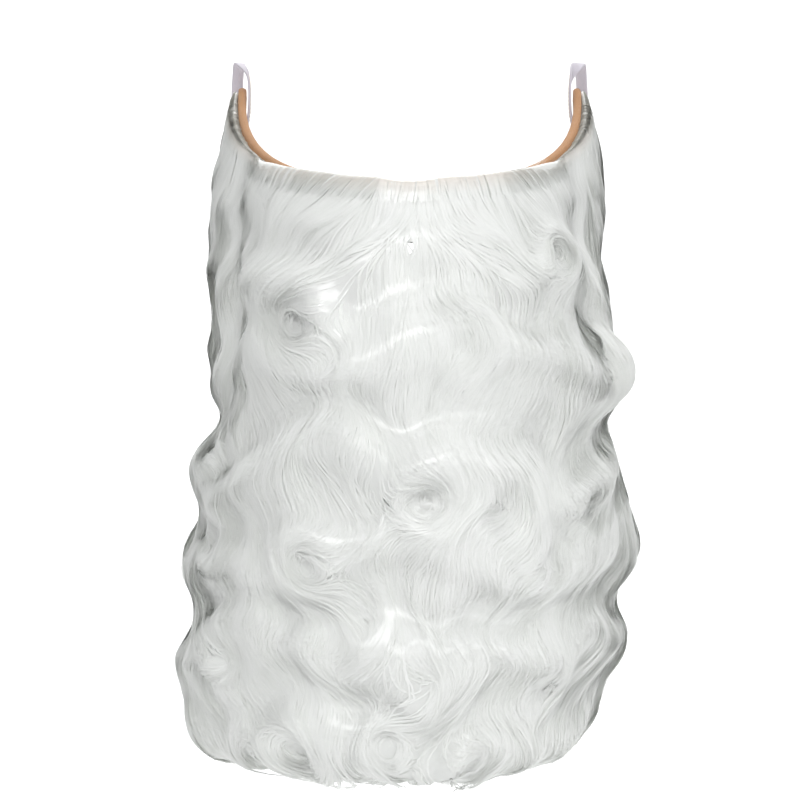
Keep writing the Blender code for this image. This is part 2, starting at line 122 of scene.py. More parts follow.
# Gap in the moustache at the mouth: half width in degrees of turn, and heights of its point, of
# where it is widest and of its base.
MOUTH_GAP = (0.8, -80.0, -88.0, -90.5)

# A strand's half width and its height over the form, least and most, where it starts to taper as a
# share of its length, how far the dense hair lies below the form, in millimetres, and its rows.
STRAND_HALF_WIDTH, STRAND_HEIGHT = (0.20, 0.38), (0.03, 0.30)
TIP_START = 0.8
CORE_DEPTH = 0.18
CORE_ROWS = 54

# The hair on the wearer's side: how much shorter it ends at the tip, in millimetres, and its relief
# as a share of the outside's.
UNDER_SHORT = 5.0
UNDER_RELIEF = 0.35

# How far the hair rolls up over the tape, in front and at the cheeks, and how far it lies in over
# it at the cheeks, in millimetres; the turns where the front passes into the cheeks; and the most
# that a strand on the roll may slant, in degrees of turn to a millimetre. The tint is painted
# show-through: the tape's share, mixed into the hair's colour beside it, for the tape seen through
# the thin hair there.
TAPE_COVER, CHEEK_COVER, CHEEK_LAP = 4.2, 1.8, 1.6
CHEEK_START = (32.0, 47.0)
SLANT_LIMIT = 0.8
TAPE_SHOW_THROUGH = 0.35

# The locks of each piece of hair: spacing of their roots in degrees, depths of the roots below the
# piece's start, and length, half width and strands of a lock and of the single hairs laid over it.
LAYER_COLUMNS = ("spacing", "depths", "long", "wide", "strands", "hairs_long", "hairs_wide", "hairs")
LAYERS = {
    "moustache": (8.2, (7.0, 20.0, 36.0, 54.0), 66, 13, 56, 64, 14, 12),
    "cheeks": (8.5, (12.0, 30.0, 50.0, 70.0, 92.0), 60, 11, 52, 60, 12, 12),
    "upper_row": (7.8, (0.0, 22.0, 44.0, 62.0), 72, 14, 39, 68, 15, 9),
    "lower_row": (7.8, (0.0, 18.0, 36.0, 54.0), 72, 14, 39, 68, 15, 9),
}

# The strands that roll over the upper edge: their roots' spacing in degrees and depth below the edge,
# and length, half width and strands of a lock.
ROLL_COLUMNS = ("spacing", "drop", "long", "wide", "strands")
ROLLS = {"moustache": (2.4, 5.0, 60, 7, 20), "cheeks": (1.8, 3.0, 54, 6, 22)}

# Heights where the cores of the layers end or start, and turns that they reach to.
MOUSTACHE_END, CHEEK_END, UPPER_ROW_START, UPPER_ROW_END, LOWER_ROW_START = -148, -152, -124, -226, -196
MOUSTACHE_TURN, CHEEK_TURNS, ROW_TURN = 50.0, (47.0, 90.0), 90.0

# Single loose hairs: their length, and half width, depth and middle of the cheek that they lie along.
STRAY_LENGTH = 60.0
CHEEK_HALF_WIDTH, CHEEK_DEPTH, CHEEK_MIDDLE = 76.0, 106.0, -8.0

# The backing: half width, half height and middle of its mouth slit, how far its two faces lie from
# the solid's inner face, and its rows of sewing below the upper edge: first, last and spacing.
SLIT_HALF_WIDTH, SLIT_HALF_HEIGHT, SLIT_Z = 14.0, 4.0, -85.0
CLOTH_FACES = (0.35, -1.45)
SEWING_ROWS = (9.0, 76.0, 9.5)
ZIGZAG_HALF_HEIGHT, ZIGZAG_TURNS = 1.1, 270

# A stitch: its length as a share of its spacing, how far it stands up, and its thread's radius.
STITCH_SHARE, STITCH_LIFT, STITCH_RADIUS = 0.72, 0.12, 0.16

# The tape's half thickness, legs and cloth thickness, and the elastic's half width and half thickness.
TAPE_HALF, TAPE_LEG, TAPE_CLOTH = 1.75, 4.0, 0.6
ELASTIC_HALF_WIDTH, ELASTIC_HALF_THICKNESS = 2.5, 0.36

# Route of an ear loop as part of the wearer's side: y and z, and how far the band is turned.
LOOP_COLUMNS = ("y", "z", "turn")
LOOP_ROUTE = (
    (-12, -32, 0),
    (-10, -22, 0),
    (-8, -13, 0),
    (-6, -7, 8),
    (-2, -2, 60),
    (6, 0, 88),
    (16, -2.5, 90),
    (24, -12, 90),
    (26, -25, 90),
    (23, -38, 90),
    (16, -48, 88),
    (7, -55, 60),
    (-1, -59, 8),
    (-9, -62, 0),
    (-19, -65, 0),
)

# The stage in metres: the sweep's floor, front, back, bend, top and half width, and the lamps.
FLOOR_Z, FLOOR_FRONT, BACK_Y, BEND, BACK_TOP, HALF_SWEEP = -0.62, -2.6, 1.6, 0.7, 2.6, 3.0
BEARD_MIDDLE, WALL_MIDDLE = (0.0, -0.05, -0.15), (0.0, 1.6, -0.1)
LAMP_COLUMNS = ("name", "place", "aim", "size", "watts")
LAMPS = (
    ("key", (-0.1, -1.45, 0.72), BEARD_MIDDLE, 0.4, 11.8),
    ("fill", (1.0, -1.3, 0.3), BEARD_MIDDLE, 0.7, 5.5),
    ("top", (0.1, -0.4, 1.1), BEARD_MIDDLE, 0.6, 2.8),
    ("rear", (0.0, 1.0, 0.9), BEARD_MIDDLE, 1.2, 16.0),
    ("wall", (0.0, 0.5, -0.3), WALL_MIDDLE, 1.4, 9.0),
)
SKY_STRENGTH = 0.46
CAMERA_X, CAMERA_Z, BEARD_FRONT_Y = -0.0016, -0.15, -0.115


def ramp(value, start, end):
    """0 at start, 1 at end, and smooth between."""
    t = np.clip((value - start) / (end - start), 0.0, 1.0)
    return t * t * (3 - 2 * t)


def unit(vectors):
    return vectors / np.maximum(np.linalg.norm(vectors, axis=-1, keepdims=True), 1e-9)


def linear(hex_colour):
    """An sRGB hex colour as linear RGBA."""
    parts = [int(hex_colour[i : i + 2], 16) / 255 for i in (1, 3, 5)]
    return [p / 12.92 if p <= 0.04045 else ((p + 0.055) / 1.055) ** 2.4 for p in parts] + [1.0]


def solid_tree(names):
    """A search tree over the row's solids of these names, in the row frame."""
    verts, faces = [], []
    for name in names:
        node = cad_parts[name]
        start = len(verts)
        verts += [node.matrix_world @ v.co for v in node.data.vertices]
        faces += [[start + i for i in p.vertices] for p in node.data.polygons]
    return BVHTree.FromPolygons(verts, faces)


def smooth_grid(grid, spread):
    """A grid blurred along its rows and columns; spread is a number of cells each way."""
    for axis, cells in enumerate(spread):
        reach = int(3 * cells) + 1
        kernel = np.exp(-0.5 * (np.arange(-reach, reach + 1) / cells) ** 2)
        kernel /= kernel.sum()
        pad = [(reach, reach) if a == axis else (0, 0) for a in range(2)]
        padded = np.pad(grid, pad, mode="edge")
        grid = np.apply_along_axis(np.convolve, axis, padded, kernel, "valid")
    return grid


def between(grid, row, column, ease=False):
    """Values of a grid at fractional rows and columns, eased between its points if asked."""
    i, j = (np.clip(place, 0, count - 1.001) for place, count in zip((row, column), grid.shape))
    i0, j0 = i.astype(int), j.astype(int)
    di, dj = i - i0, j - j0
    if ease:
        di, dj = ramp(di, 0.0, 1.0), ramp(dj, 0.0, 1.0)
    upper = grid[i0, j0] * (1 - dj) + grid[i0, j0 + 1] * dj
    lower = grid[i0 + 1, j0] * (1 - dj) + grid[i0 + 1, j0 + 1] * dj
    return upper * (1 - di) + lower * di


class Form:
    """A side of the row's solids as distances from a middle line, by turn and height.

    Turn 0 faces forward, and turns grow towards the wearer's left. side 1 measures the outside of
    the solids and side -1 their inside.
    """

    def __init__(self, names, side, spread):
        self.side = side
        self.turns = np.arange(-TURN_LIMIT, TURN_LIMIT + 0.1, TURN_STEP)
        self.levels = np.arange(LEVELS[0], LEVELS[1] + 0.1, LEVEL_STEP)
        tree = solid_tree(names)
        radius = np.full((len(self.levels), len(self.turns)), np.nan)
        for i, z in enumerate(self.levels):
            centre = Vector((0.0, self.middle(z), z)) * MM
            for j, turn in enumerate(self.turns):
                angle = math.radians(turn)
                out = Vector((math.sin(angle), -math.cos(angle), 0.0))
                if side > 0:
                    hit = tree.ray_cast(centre + out * SPOKE_REACH * MM, -out, SPOKE_REACH * MM)
                    distance = SPOKE_REACH - (hit[3] or 0) / MM
                else:
                    hit = tree.ray_cast(centre, out, SPOKE_REACH * MM)
                    distance = (hit[3] or 0) / MM
                if hit[0] is not None:
                    radius[i, j] = distance
        there = ~np.isnan(radius)
        self.top = self.edge(there, -1)
        self.bottom = self.edge(there, 0)
        radius = self.filled(radius, there)
        if side > 0:
            front = 1 - ramp(np.abs(self.turns), 50.0, 78.0)
            radius = radius + (self.bridged(radius) - radius) * 0.75 * front
        self.radius = smooth_grid(radius, spread)

    @staticmethod
    def middle(z):
        spokes = dict(zip(SPOKE_COLUMNS, np.array(SPOKES, float).T))
        return np.interp(z, spokes["z"], spokes["y"])

    def edge(self, there, which):
        """The highest or lowest level of the solids at each turn."""
        found = np.array([self.levels[c][[0, -1][which]] if c.any() else np.nan for c in there.T])
        line = np.interp(self.turns, self.turns[~np.isnan(found)], found[~np.isnan(found)])
        return smooth_grid(line[None, :], (0.1, 2.0))[0]

    def filled(self, radius, there):
        """The grid with each gap filled from its own column, and an empty column from its neighbour."""
        columns = [j for j in range(radius.shape[1]) if there[:, j].any()]
        for j in columns:
            radius[:, j] = np.interp(self.levels, self.levels[there[:, j]], radius[there[:, j], j])
        for j in range(radius.shape[1]):
            if j not in columns:
                radius[:, j] = radius[:, min(columns, key=lambda c: abs(c - j))]
        return radius

    @staticmethod
    def bridged(radius, reach=5):
        """The grid with level grooves filled that are narrower than twice reach steps."""
        padded = np.pad(radius, ((2 * reach, 2 * reach), (0, 0)), mode="edge")
        count = len(radius) + 2 * reach
        raised = np.max([padded[i : i + count] for i in range(2 * reach + 1)], axis=0)
        return np.min([raised[i : i + len(radius)] for i in range(2 * reach + 1)], axis=0)

    def top_at(self, turn):
        return np.interp(turn, self.turns, self.top)

    def bottom_at(self, turn):
        return np.interp(turn, self.turns, self.bottom)

    def surface(self, turn, z):
        radius = between(self.radius, (z - self.levels[0]) / LEVEL_STEP, (turn - self.turns[0]) / TURN_STEP)
        angle = np.radians(turn)
        return np.stack([radius * np.sin(angle), self.middle(z) - radius * np.cos(angle), z + 0 * radius], -1)

    def place(self, turn, z, height):
        """Points at a height over the form, and the form's normals there."""
        across = self.surface(turn + 1.5, z) - self.surface(turn - 1.5, z)
        along = self.surface(turn, z + 3.0) - self.surface(turn, z - 3.0)
        normal = unit(np.cross(across, along)) * self.side
        return self.surface(turn, z) + normal * np.asarray(height)[..., None], normal

    def stretch(self, turn, z):
        """Millimetres along the form for a degree of turn."""
        return np.linalg.norm(self.surface(turn + 1.5, z) - self.surface(turn - 1.5, z), axis=-1) / 3.0

    def turn_at(self, x, z):
        """The turn at which the form's front has this x."""
        turns = np.linspace(-80, 80, 161)
        return float(np.interp(x, self.surface(turns, z + 0 * turns)[:, 0], turns))


def new_object(name, data):
    """An object in the scene that shows this data."""
    made = bpy.data.objects.new(name, data)
    bpy.context.scene.collection.objects.link(made)
    return made


class Patch:
    """Vertices and quads that are gathered for one mesh, with their texture places and shade."""

    def __init__(self):
        self.points, self.faces, self.uvs, self.shades, self.warmths = [], [], [], [], []
        self.count = 0

    def add(self, points, faces, uvs, shades, warmths=None):
        self.points.append(points.reshape(-1, 3))
        self.faces.append(faces + self.count)
        self.uvs.append(uvs.reshape(-1, 2))
        self.shades.append(shades.reshape(-1))
        self.warmths.append(0 * self.shades[-1] if warmths is None else warmths.reshape(-1))
        self.count += points.reshape(-1, 3).shape[0]

    def build(self, name, material):
        """An object from all that was gathered."""
        points, faces = np.concatenate(self.points) * MM, np.concatenate(self.faces)
        mesh = bpy.data.meshes.new(name)
        mesh.vertices.add(len(points))
        mesh.vertices.foreach_set("co", points.astype(np.float32).ravel())
        mesh.loops.add(faces.size)
        mesh.loops.foreach_set("vertex_index", faces.astype(np.int32).ravel())
        mesh.polygons.add(len(faces))
        mesh.polygons.foreach_set("loop_start", np.arange(0, faces.size, 4, dtype=np.int32))
        mesh.update(calc_edges=True)
        layer = mesh.uv_layers.new(name="UVMap")
        layer.data.foreach_set("uv", np.concatenate(self.uvs)[faces.ravel()].astype(np.float32).ravel())
        for title, values in (("shade", self.shades), ("show_through", self.warmths)):
            attribute = mesh.attributes.new(title, "FLOAT", "POINT")
            attribute.data.foreach_set("value", np.concatenate(values).astype(np.float32))
        mesh.shade_smooth()
        mesh.materials.append(material)
        return new_object(name, mesh)


def grid_quads(rows, columns):
    """Quads of a grid of points that is stored row by row."""
    corner = (np.arange(rows - 1)[:, None] * columns + np.arange(columns - 1)).ravel()
    return np.stack([corner, corner + 1, corner + columns + 1, corner + columns], axis=1)


def add_ribbons(patch, points, edge, run, shade, show_through):
    """A ribbon along each row of points; edge leads to its sides, and run is its length so far."""
    count, stations = points.shape[:2]
    both = np.stack([points - edge, points + edge], axis=2)
    uv = np.stack(np.broadcast_arrays([0.0, 1.0], run[..., None] * MM), axis=-1)
    faces = (np.arange(count)[:, None, None] * stations * 2 + grid_quads(stations, 2)).reshape(-1, 4)
    shades, warmths = (np.broadcast_to(a, both.shape[:3]) for a in (shade, show_through[..., None]))
    patch.add(both, faces, uv, shades, warmths)


def lay_strands(patch, form, turn, z, height, half_width, tilt, shade, rim=None):
    """Adds a ribbon for each row of places, laid over a form and tilted about its own length.

    rim is the inner form where the strands come up behind the hair's edge and over it.
    """
    points, normal = form.place(turn, z, height)
    if rim is not None:
        slant = (turn[:, 1] - turn[:, 0]) / np.minimum(z[:, 1] - z[:, 0], -0.5)
        over = edge_points(form, rim, turn[:, 0], z[:, 0], height[:, 0], slant=slant)
        points = np.concatenate([over[0], points], axis=1)
        normal = np.concatenate([over[1], normal], axis=1)
        first = np.repeat(half_width[:, :1], over[0].shape[1], axis=1)
        half_width = np.concatenate([first, half_width], axis=1)
        tilt = np.concatenate([np.zeros(over[0].shape[:2]), tilt], axis=1)
    along = unit(np.gradient(points, axis=1))
    side = unit(np.cross(along, normal))
    face = np.cross(side, along)
    tilt = np.asarray(tilt)[..., None]
    side = side * np.cos(tilt) + face * np.sin(tilt)
    edge = side * np.asarray(half_width)[..., None]
    run = np.linalg.norm(np.diff(points, axis=1, prepend=points[:, :1]), axis=-1).cumsum(axis=1)
    start = np.random.default_rng(3).uniform(0, 400, (len(points), 1))
    # Painted show-through: hair near the upper edge takes on the tape's colour, for the tape seen through the
    # thin hair.
    show_through = TAPE_SHOW_THROUGH * ramp(form.top_at(turn[:, 0])[:, None] - points[..., 2], 4.0, -6.0)
    add_ribbons(patch, points, edge, run + start, shade[:, None, None], show_through)


def lay_roll(patch, outer, inner, span, drop):
    """The dense roll of hair inside the upper edge, that the edge's strands are laid over."""
    turn = np.linspace(*span, 100)
    low = outer.top_at(turn) - drop
    add_tube(patch, edge_points(outer, inner, turn, low, -0.4 + 0 * turn, np.arange(-180, 180, 15))[0])


def edge_points(outer, inner, turn, z, height, angles=(-75, -50, -25, 0, 25, 50, 75), slant=0.0):
    """Points that go up the inner side of the hair's upper edge and over it, and their normals."""
    angle = np.radians(angles)[None, :]
    turn, z, height = (np.repeat(a[:, None], angle.shape[1], axis=1) for a in (turn, z, height))
    beside = ramp(np.abs(turn), *CHEEK_START)
    cover = TAPE_COVER + (CHEEK_COVER - TAPE_COVER) * beside
    rise = outer.top_at(turn) + cover - z
    slant = np.clip(np.asarray(slant)[..., None], -SLANT_LIMIT, SLANT_LIMIT)
    turn = turn + slant * rise * np.cos(np.maximum(angle, 0.0))
    front, facing = outer.place(turn, z, height)
    back, _ = inner.place(turn, z, CHEEK_LAP * beside)
    middle, half = (front + back) / 2, (front - back) / 2
    top = outer.top_at(turn) + cover
    rise = np.maximum(top - z, 1.0)
    up = np.array([0.0, 0.0, 1.0])
    points = middle + half * np.sin(angle)[..., None] + up * (rise * np.cos(angle))[..., None]
    return points, unit(facing * np.sin(angle)[..., None] + up * np.cos(angle)[..., None])


class Flow:
    """The way the hair runs over a form: waves, the parting, the roll curls and the ridges of locks."""

    def __init__(self, form, curls, relief):
        self.form, self.relief = form, relief
        self.curls = [dict(zip(CURL_COLUMNS, row)) for row in curls]
        for curl in self.curls:
            curl["turn"] = form.turn_at(curl["x"], curl["z"])
        self.turns = np.arange(-TURN_LIMIT, TURN_LIMIT + 0.01, RIDGE_TURN)
        self.levels = np.arange(LEVELS[0], LEVELS[1] + 0.01, RIDGE_LEVEL)
        self.ridges = self.combed(np.random.default_rng(RIDGE_SEED))

    def combed(self, rng):
        """Noise drawn out along the hair, with an even spread of heights."""
        turn, z = np.meshgrid(self.turns, self.levels)
        spread = RIDGE_GRAIN / RIDGE_LEVEL, RIDGE_GRAIN / RIDGE_TURN / 1.8
        noise = smooth_grid(rng.normal(size=turn.shape), spread)
        total, step = noise.copy(), 2.0
        for way in (step, -step):
            place, level = turn, z
            for _ in range(int(RIDGE_REACH / step)):
                stretch = self.form.stretch(place, level)
                across, up = self.course(place, level, stretch)
                place, level = place + across * way / stretch, level + up * way
                total = total + self.sample(noise, place, level)
        return (total - total.mean()) / total.std()

    def sample(self, grid, turn, z):
        row, column = (z - self.levels[0]) / RIDGE_LEVEL, (turn - self.turns[0]) / RIDGE_TURN
        return between(grid, row, column, ease=True)

    def waves(self, turn, z):
        """Swing and relief of the layers' finger waves, blended where one layer ends on the next."""
        swings, reliefs, upper = 0.0, 0.0, 1.0
        uneven = 1.1 * np.sin(0.13 * turn + 1.7 * np.sin(0.05 * z)) + 0.5 * np.sin(0.31 * turn - 0.04 * z)
        for row in WAVES:
            wave = dict(zip(WAVE_COLUMNS, row))
            around = np.arctan2(wave["section"] * np.sin(np.radians(turn)), np.cos(np.radians(turn)))
            s = around / (math.pi / 2)
            drift = wave["drift"] / 5
            phase = sum(swing * np.sin(turns * s + turns * drift) for swing, turns in PHASE_SWINGS)
            height = np.cos(2 * math.pi * (wave["crest"] - z) / WAVE_LENGTH + phase + uneven)
            lower = 1 - ramp(z, wave["from_z"] - WAVE_BLEND, wave["from_z"] + WAVE_BLEND)
            share = upper - lower
            swings = swings + share * wave["swing"] * height
            reliefs = reliefs + share * wave["relief"] * height
            upper = lower
        return swings, reliefs

    def course(self, turn, z, stretch, stray=0.0):
        """Unit steps across and up at places on the form; stray moves a lock's own middle line."""
        middle = turn - stray - 3.0 * np.sin(z / 13.0 + 1.0)
        side = np.tanh(middle / PARTING_EDGE)
        swept = np.abs(middle) / PARTING_TURN
        parting = PARTING_SWING * side * swept * np.exp(1 - swept) * ramp(z, *PARTING_LEVELS)
        below = self.form.top_at(turn) - z
        direction = (parting + side * self.waves(turn, z)[0]) * (0.5 + 0.5 * ramp(below, 0.0, 24.0))
        across, up = np.sin(direction), -np.cos(direction)
        to_rim = z - self.form.bottom_at(turn)
        across = np.where(across * turn > 0, across * ramp(TURN_LIMIT - 9 - np.abs(turn), 0.0, 12.0), across)
        for curl in self.curls:
            right, high = (turn - curl["turn"]) * stretch, z - curl["z"]
            away = np.hypot(right, high) + 1e-6
            share = np.clip(curl["pull"] * np.exp(-((away / curl["radius"]) ** 2)), 0, 1)
            across = across * (1 - share) + share * (curl["way"] * high - TURNING_IN * right) / away
            up = up * (1 - share) + share * (-curl["way"] * right - TURNING_IN * high) / away
        length = np.hypot(across, up) + 1e-6
        free = ramp(to_rim, -4.5, 6.0)
        return across / length * (0.3 + 0.7 * free), up / length * np.where(up < 0, free, 1.0)

    def part_at_mouth(self, turn, z):
        """Turns moved apart where the moustache leaves a small three-cornered gap at the mouth."""
        wide = MOUTH_GAP[0] * ramp(z, MOUTH_GAP[1], MOUTH_GAP[2]) * ramp(z, MOUTH_GAP[3], MOUTH_GAP[2])
        return turn + np.sign(turn) * wide * np.exp(-np.abs(turn) / (2.0 * MOUTH_GAP[0]))

    def height(self, turn, z, stretch):
        """Relief of the waves, curls and locks over the form."""
        below = self.form.top_at(turn) - z
        calm = ramp(below, 5.0, 50.0) * (1 - 0.6 * ramp(np.abs(turn), 45.0, 75.0))
        height = self.waves(turn, z)[1] * calm
        for curl in self.curls:
            away = np.hypot((turn - curl["turn"]) * stretch, z - curl["z"]) / curl["radius"]
            ring = np.exp(-(((away - RING_AT) / RING_WIDTH) ** 2))
            ring = ring - 0.35 * ramp(curl["pull"], 0.6, 1.1) * np.exp(-((away / 0.3) ** 2))
            near = min(curl["pull"], 1.0) * np.exp(-((away / 1.1) ** 4))
            height = height * (1 - 0.7 * near) + curl["rise"] * ring
        height = height + RIDGE_HEIGHT * self.sample(self.ridges, turn, z) * ramp(below, 4.0, 24.0)
        to_rim = z - self.form.bottom_at(turn)
        return self.relief * height - 6.0 * (1 - ramp(to_rim, -4.0, 8.0))


def lay_locks(patch, flow, rng, roots, length, width, strands, fine=False, stations=18, rim=None):
    """Locks of hair from their roots on, each a flattened bundle whose strands follow the flow.

    fine strands are single hairs that lie loose on the locks.
    """
    form = flow.form
    locks = len(roots)
    root = np.array(roots, float)
    wide = width * rng.uniform(0.75, 1.25, (locks, 1))
    u = rng.uniform(-1, 1, (locks, strands))
    u[:, 0] = 0.0
    stretch = form.stretch(root[:, :1], root[:, 1:])
    turn = root[:, :1] + u * wide / stretch
    z = root[:, 1:] + 0 * u + rng.normal(0, 0.3 if rim else 2.0, u.shape) + (0.0 if rim else 3.0) * (1 - u**2)
    long = length * rng.uniform(0.82, 1.18, (locks, 1)) * rng.uniform(0.80, 1.06, u.shape)
    step = long / (stations - 1)
    drift = rng.normal(0, 0.10 if fine else 0.035, u.shape)
    stray = rng.normal(0, 3.0, (locks, 1))
    turns, levels = [turn], [z]
    for _ in range(stations - 1):
        stretch = form.stretch(turn, z)
        across, up = flow.course(turn, z, stretch, stray)
        turn = turn + (across + drift) * step / stretch
        z = z + up * step
        turns.append(turn)
        levels.append(z)
    turn, z = np.stack(turns, -1), np.stack(levels, -1)
    t = np.linspace(0, 1, stations)
    gather = (0.1 if fine else 0.35) * ramp(t, 0.45, 1.0)
    turn = turn + np.clip((turn[:, :1] - turn) * gather, -1.6, 1.6)
    z = z + np.clip((z[:, :1] - z) * gather, -2.0, 2.0)
    turn = flow.part_at_mouth(turn, z)
    rim_line = form.bottom_at(turn) + rng.uniform(-2.0, 2.5, u.shape)[..., None]
    if form.side < 0:
        rim_line = rim_line + UNDER_SHORT
    z = np.maximum(z, rim_line)
    sunk = 0.0 if rim else 0.5
    height = rng.uniform(*STRAND_HEIGHT, u.shape)[..., None]
    height = height - sunk * (1 - ramp(t, 0.0, 0.3)) - 0.3 * ramp(t, TIP_START, 1.0)
    if fine:
        height = height + rng.uniform(0.1, 1.6, u.shape)[..., None] * ramp(t, 0.1, 0.6)
    height = height + flow.height(turn, z, form.stretch(turn, z))
    half = rng.uniform(*STRAND_HALF_WIDTH, u.shape)[..., None]
    half = half * (1 - 0.85 * ramp(t, TIP_START, 1.0)) + 0.02
    if fine:
        half = half * 0.35
    tilt = rng.normal(0, 0.045, u.shape)[..., None] + 0 * t
    shade = rng.normal(0, 0.16, (locks, 1)) + rng.normal(0, 0.20, u.shape)
    flat = [a.reshape(-1, stations) for a in (turn, z, height, half + 0 * turn, tilt)]
    lay_strands(patch, form, *flat, shade.reshape(-1), rim=rim)


def lay_curls(patch, flow, rng, length, strands, span):
    """Short locks that start round each roll curl and run on round its ring."""
    roots = []
    for curl in flow.curls:
        turn, z = curl["turn"], curl["z"]
        if not span[0] <= z < span[1]:
            continue
        stretch = float(flow.form.stretch(np.array(turn), np.array(float(z))))
        for ring, count in CURL_RINGS:
            for angle in np.arange(count) * 2 * math.pi / count + rng.uniform(0, 6.3):
                away = ring * curl["radius"]
                roots.append((turn + away * math.sin(angle) / stretch, z + away * math.cos(angle)))
    lay_locks(patch, flow, rng, roots, length, CURL_LOCK_WIDTH, strands)


def scattered_roots(rng, spans, spacing, depths, start):
    """Places of lock roots, in staggered rows at the depths below a start line."""
    roots = []
    for row, depth in enumerate(depths):
        for turn in np.arange(spans[0], spans[1], spacing) + spacing * (0.5 * (row % 2) + 0.25):
            place = turn + rng.normal(0, spacing * 0.2)
            if spans[0] < place < spans[1]:
                roots.append((place, float(start(place)) - depth + rng.normal(0, 2.5)))
    return roots


def close_skins(patch, faces, count):
    """Joins two skins, gathered one after the other with count points each, along all open edges."""
    start = patch.count - 2 * count
    edges = np.concatenate([faces[:, [i, (i + 1) % 4]] for i in range(4)])
    keys = {tuple(e) for e in edges.tolist()}
    rim = np.array([e for e in edges.tolist() if (e[1], e[0]) not in keys])
    patch.faces.append(np.stack([rim[:, 1], rim[:, 0], rim[:, 0] + count, rim[:, 1] + count], axis=1) + start)


def core(patch, flow, inner, spans, top, bottom, columns=96):
    """The dense hair beneath the locks: a closed shell that carries the waves and curls too."""
    outer = flow.form
    turn = np.linspace(spans[0], spans[1], columns)
    high, low = top(turn), bottom(turn)
    t = np.linspace(0, 1, CORE_ROWS)[:, None]
    z = high + (low - high) * t
    turn = flow.part_at_mouth(np.broadcast_to(turn, z.shape), z)
    border = np.minimum(np.minimum((high - z) / 3.0, (z - low) / 6.5), 1) * np.minimum(
        np.minimum(turn - spans[0], spans[1] - turn) / 4.0 + 0.15, 1)
    height = flow.height(turn, z, outer.stretch(turn, z)) - CORE_DEPTH
    front = outer.place(turn, z, height - 3.0 * (1 - border))[0]
    rear = inner.place(turn, z, -0.6 + 0 * z)[0]
    quads = grid_quads(CORE_ROWS, columns)
    left, right = turn.ravel()[quads[:, 0]], turn.ravel()[quads[:, 1]]
    parted = np.abs(flow.part_at_mouth(1e-3, z.ravel()[quads[:, 0]])) > 0.5 * MOUTH_GAP[0]
    quads = quads[~(parted & (left < 0) & (right > 0))]
    uv = np.stack([turn * 1.2, z * MM], axis=-1)
    # Painted shade: the dense hair beneath the locks is coloured a little darker than the locks, for the
    # shade in the gaps between them.
    shade = np.full(z.shape, -0.2)
    patch.add(front, quads, uv, shade)
    patch.add(rear, quads[:, ::-1], uv, shade)
    close_skins(patch, quads, CORE_ROWS * columns)


def add_node(tree, kind, settings=(), links=()):
    """A shader node with its settings, and links into it from other nodes' outputs."""
    node = tree.nodes.new("ShaderNode" + kind)
    for name, value in dict(settings).items():
        if name in node.inputs:
            node.inputs[name].default_value = value
        else:
            setattr(node, name, value)
    for name, output in dict(links).items():
        tree.links.new(output, node.inputs[name])
    return node


def new_material(name):
    material = bpy.data.materials.new(name)
    material.use_nodes = True
    material.node_tree.nodes.clear()
    return material, material.node_tree


def mixed_colour(tree, factor, low, high):
    """An output that goes from one colour to another with a factor."""
    settings = {"data_type": "RGBA", "A": low, "B": high}
    return add_node(tree, "Mix", settings, {"Factor": factor}).outputs["Result"]


def hair_material(settings):
    """Modacrylic fibre, drawn smooth and heat-set in waves: white, glossy across its strands."""
    material, tree = new_material("hair")
    place = add_node(tree, "UVMap", {"uv_map": "UVMap"})
    # The shade attribute gives each lock and strand its own tone at random, and paints shade on the dense
    # hair beneath the locks.
    shade = add_node(tree, "Attribute", {"attribute_name": "shade"})
    tone = add_node(tree, "MapRange", {"From Min": -1.0, "From Max": 1.0},
                    {"Value": shade.outputs["Fac"]})
    colour = mixed_colour(tree, tone.outputs["Result"], settings.hair_dark, settings.hair)
    # Painted show-through: near the upper edge the hair's colour is mixed with the tape's, for the tape seen
    # through the thin hair.
    near_cloth = add_node(tree, "Attribute", {"attribute_name": "show_through"})
    warmed = add_node(tree, "Mix", {"data_type": "RGBA", "B": linear("#E8CDB6")},
                      {"Factor": near_cloth.outputs["Fac"], "A": colour})
    tangent = add_node(tree, "Tangent", {"direction_type": "UV_MAP", "uv_map": "UVMap"})
    fibre = add_node(tree, "Mapping", {"Scale": (1.6, 60.0, 1.0)}, {"Vector": place.outputs["UV"]})
    lines = add_node(tree, "TexNoise", {"Scale": 1.0, "Detail": 2.0},
                     {"Vector": fibre.outputs["Vector"]})
    relief = add_node(tree, "Bump", {"Strength": 0.18, "Distance": 0.0002},
                      {"Height": lines.outputs["Fac"]})
    shader = add_node(
        tree,
        "BsdfPrincipled",
        {"Roughness": 0.3, "IOR": 1.55, "Anisotropic": 0.75},
        {"Base Color": warmed.outputs["Result"], "Normal": relief.outputs["Normal"],
         "Tangent": tangent.outputs["Tangent"]},
    )
    through = add_node(tree, "BsdfTranslucent", {"Color": linear("#F4F6F2")})
    mixed = add_node(tree, "MixShader", {"Fac": 0.32})
    tree.links.new(shader.outputs[0], mixed.inputs[1])
    tree.links.new(through.outputs[0], mixed.inputs[2])
    add_node(tree, "OutputMaterial", {}, {"Surface": mixed.outputs[0]})
    return material


class Hair:
    """The forms, flow and material that all pieces of hair share, made once."""

    made = {}

    @classmethod
    def get(cls, settings):
        if not cls.made:
            outer, inner = Form(HAIR_NODES, 1, (2.2, 2.6)), Form(HAIR_NODES, -1, (1.2, 1.2))
            flow = Flow(outer, CURLS, settings.relief)
            under = Flow(inner, (), settings.relief * UNDER_RELIEF)
            cls.made.update(flow=flow, inner=inner, under=under, material=hair_material(settings))
        return cls.made["flow"], cls.made["inner"], cls.made["under"], cls.made["material"]


def top_line(form, drop):
    return lambda turn: form.top_at(turn) - drop


def finish_piece(piece, nodes=()):
    """Ties a piece to the body it rides on in the row, and hides the solids it stands for."""
    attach(piece, "root")
    if nodes:
        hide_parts(*nodes)


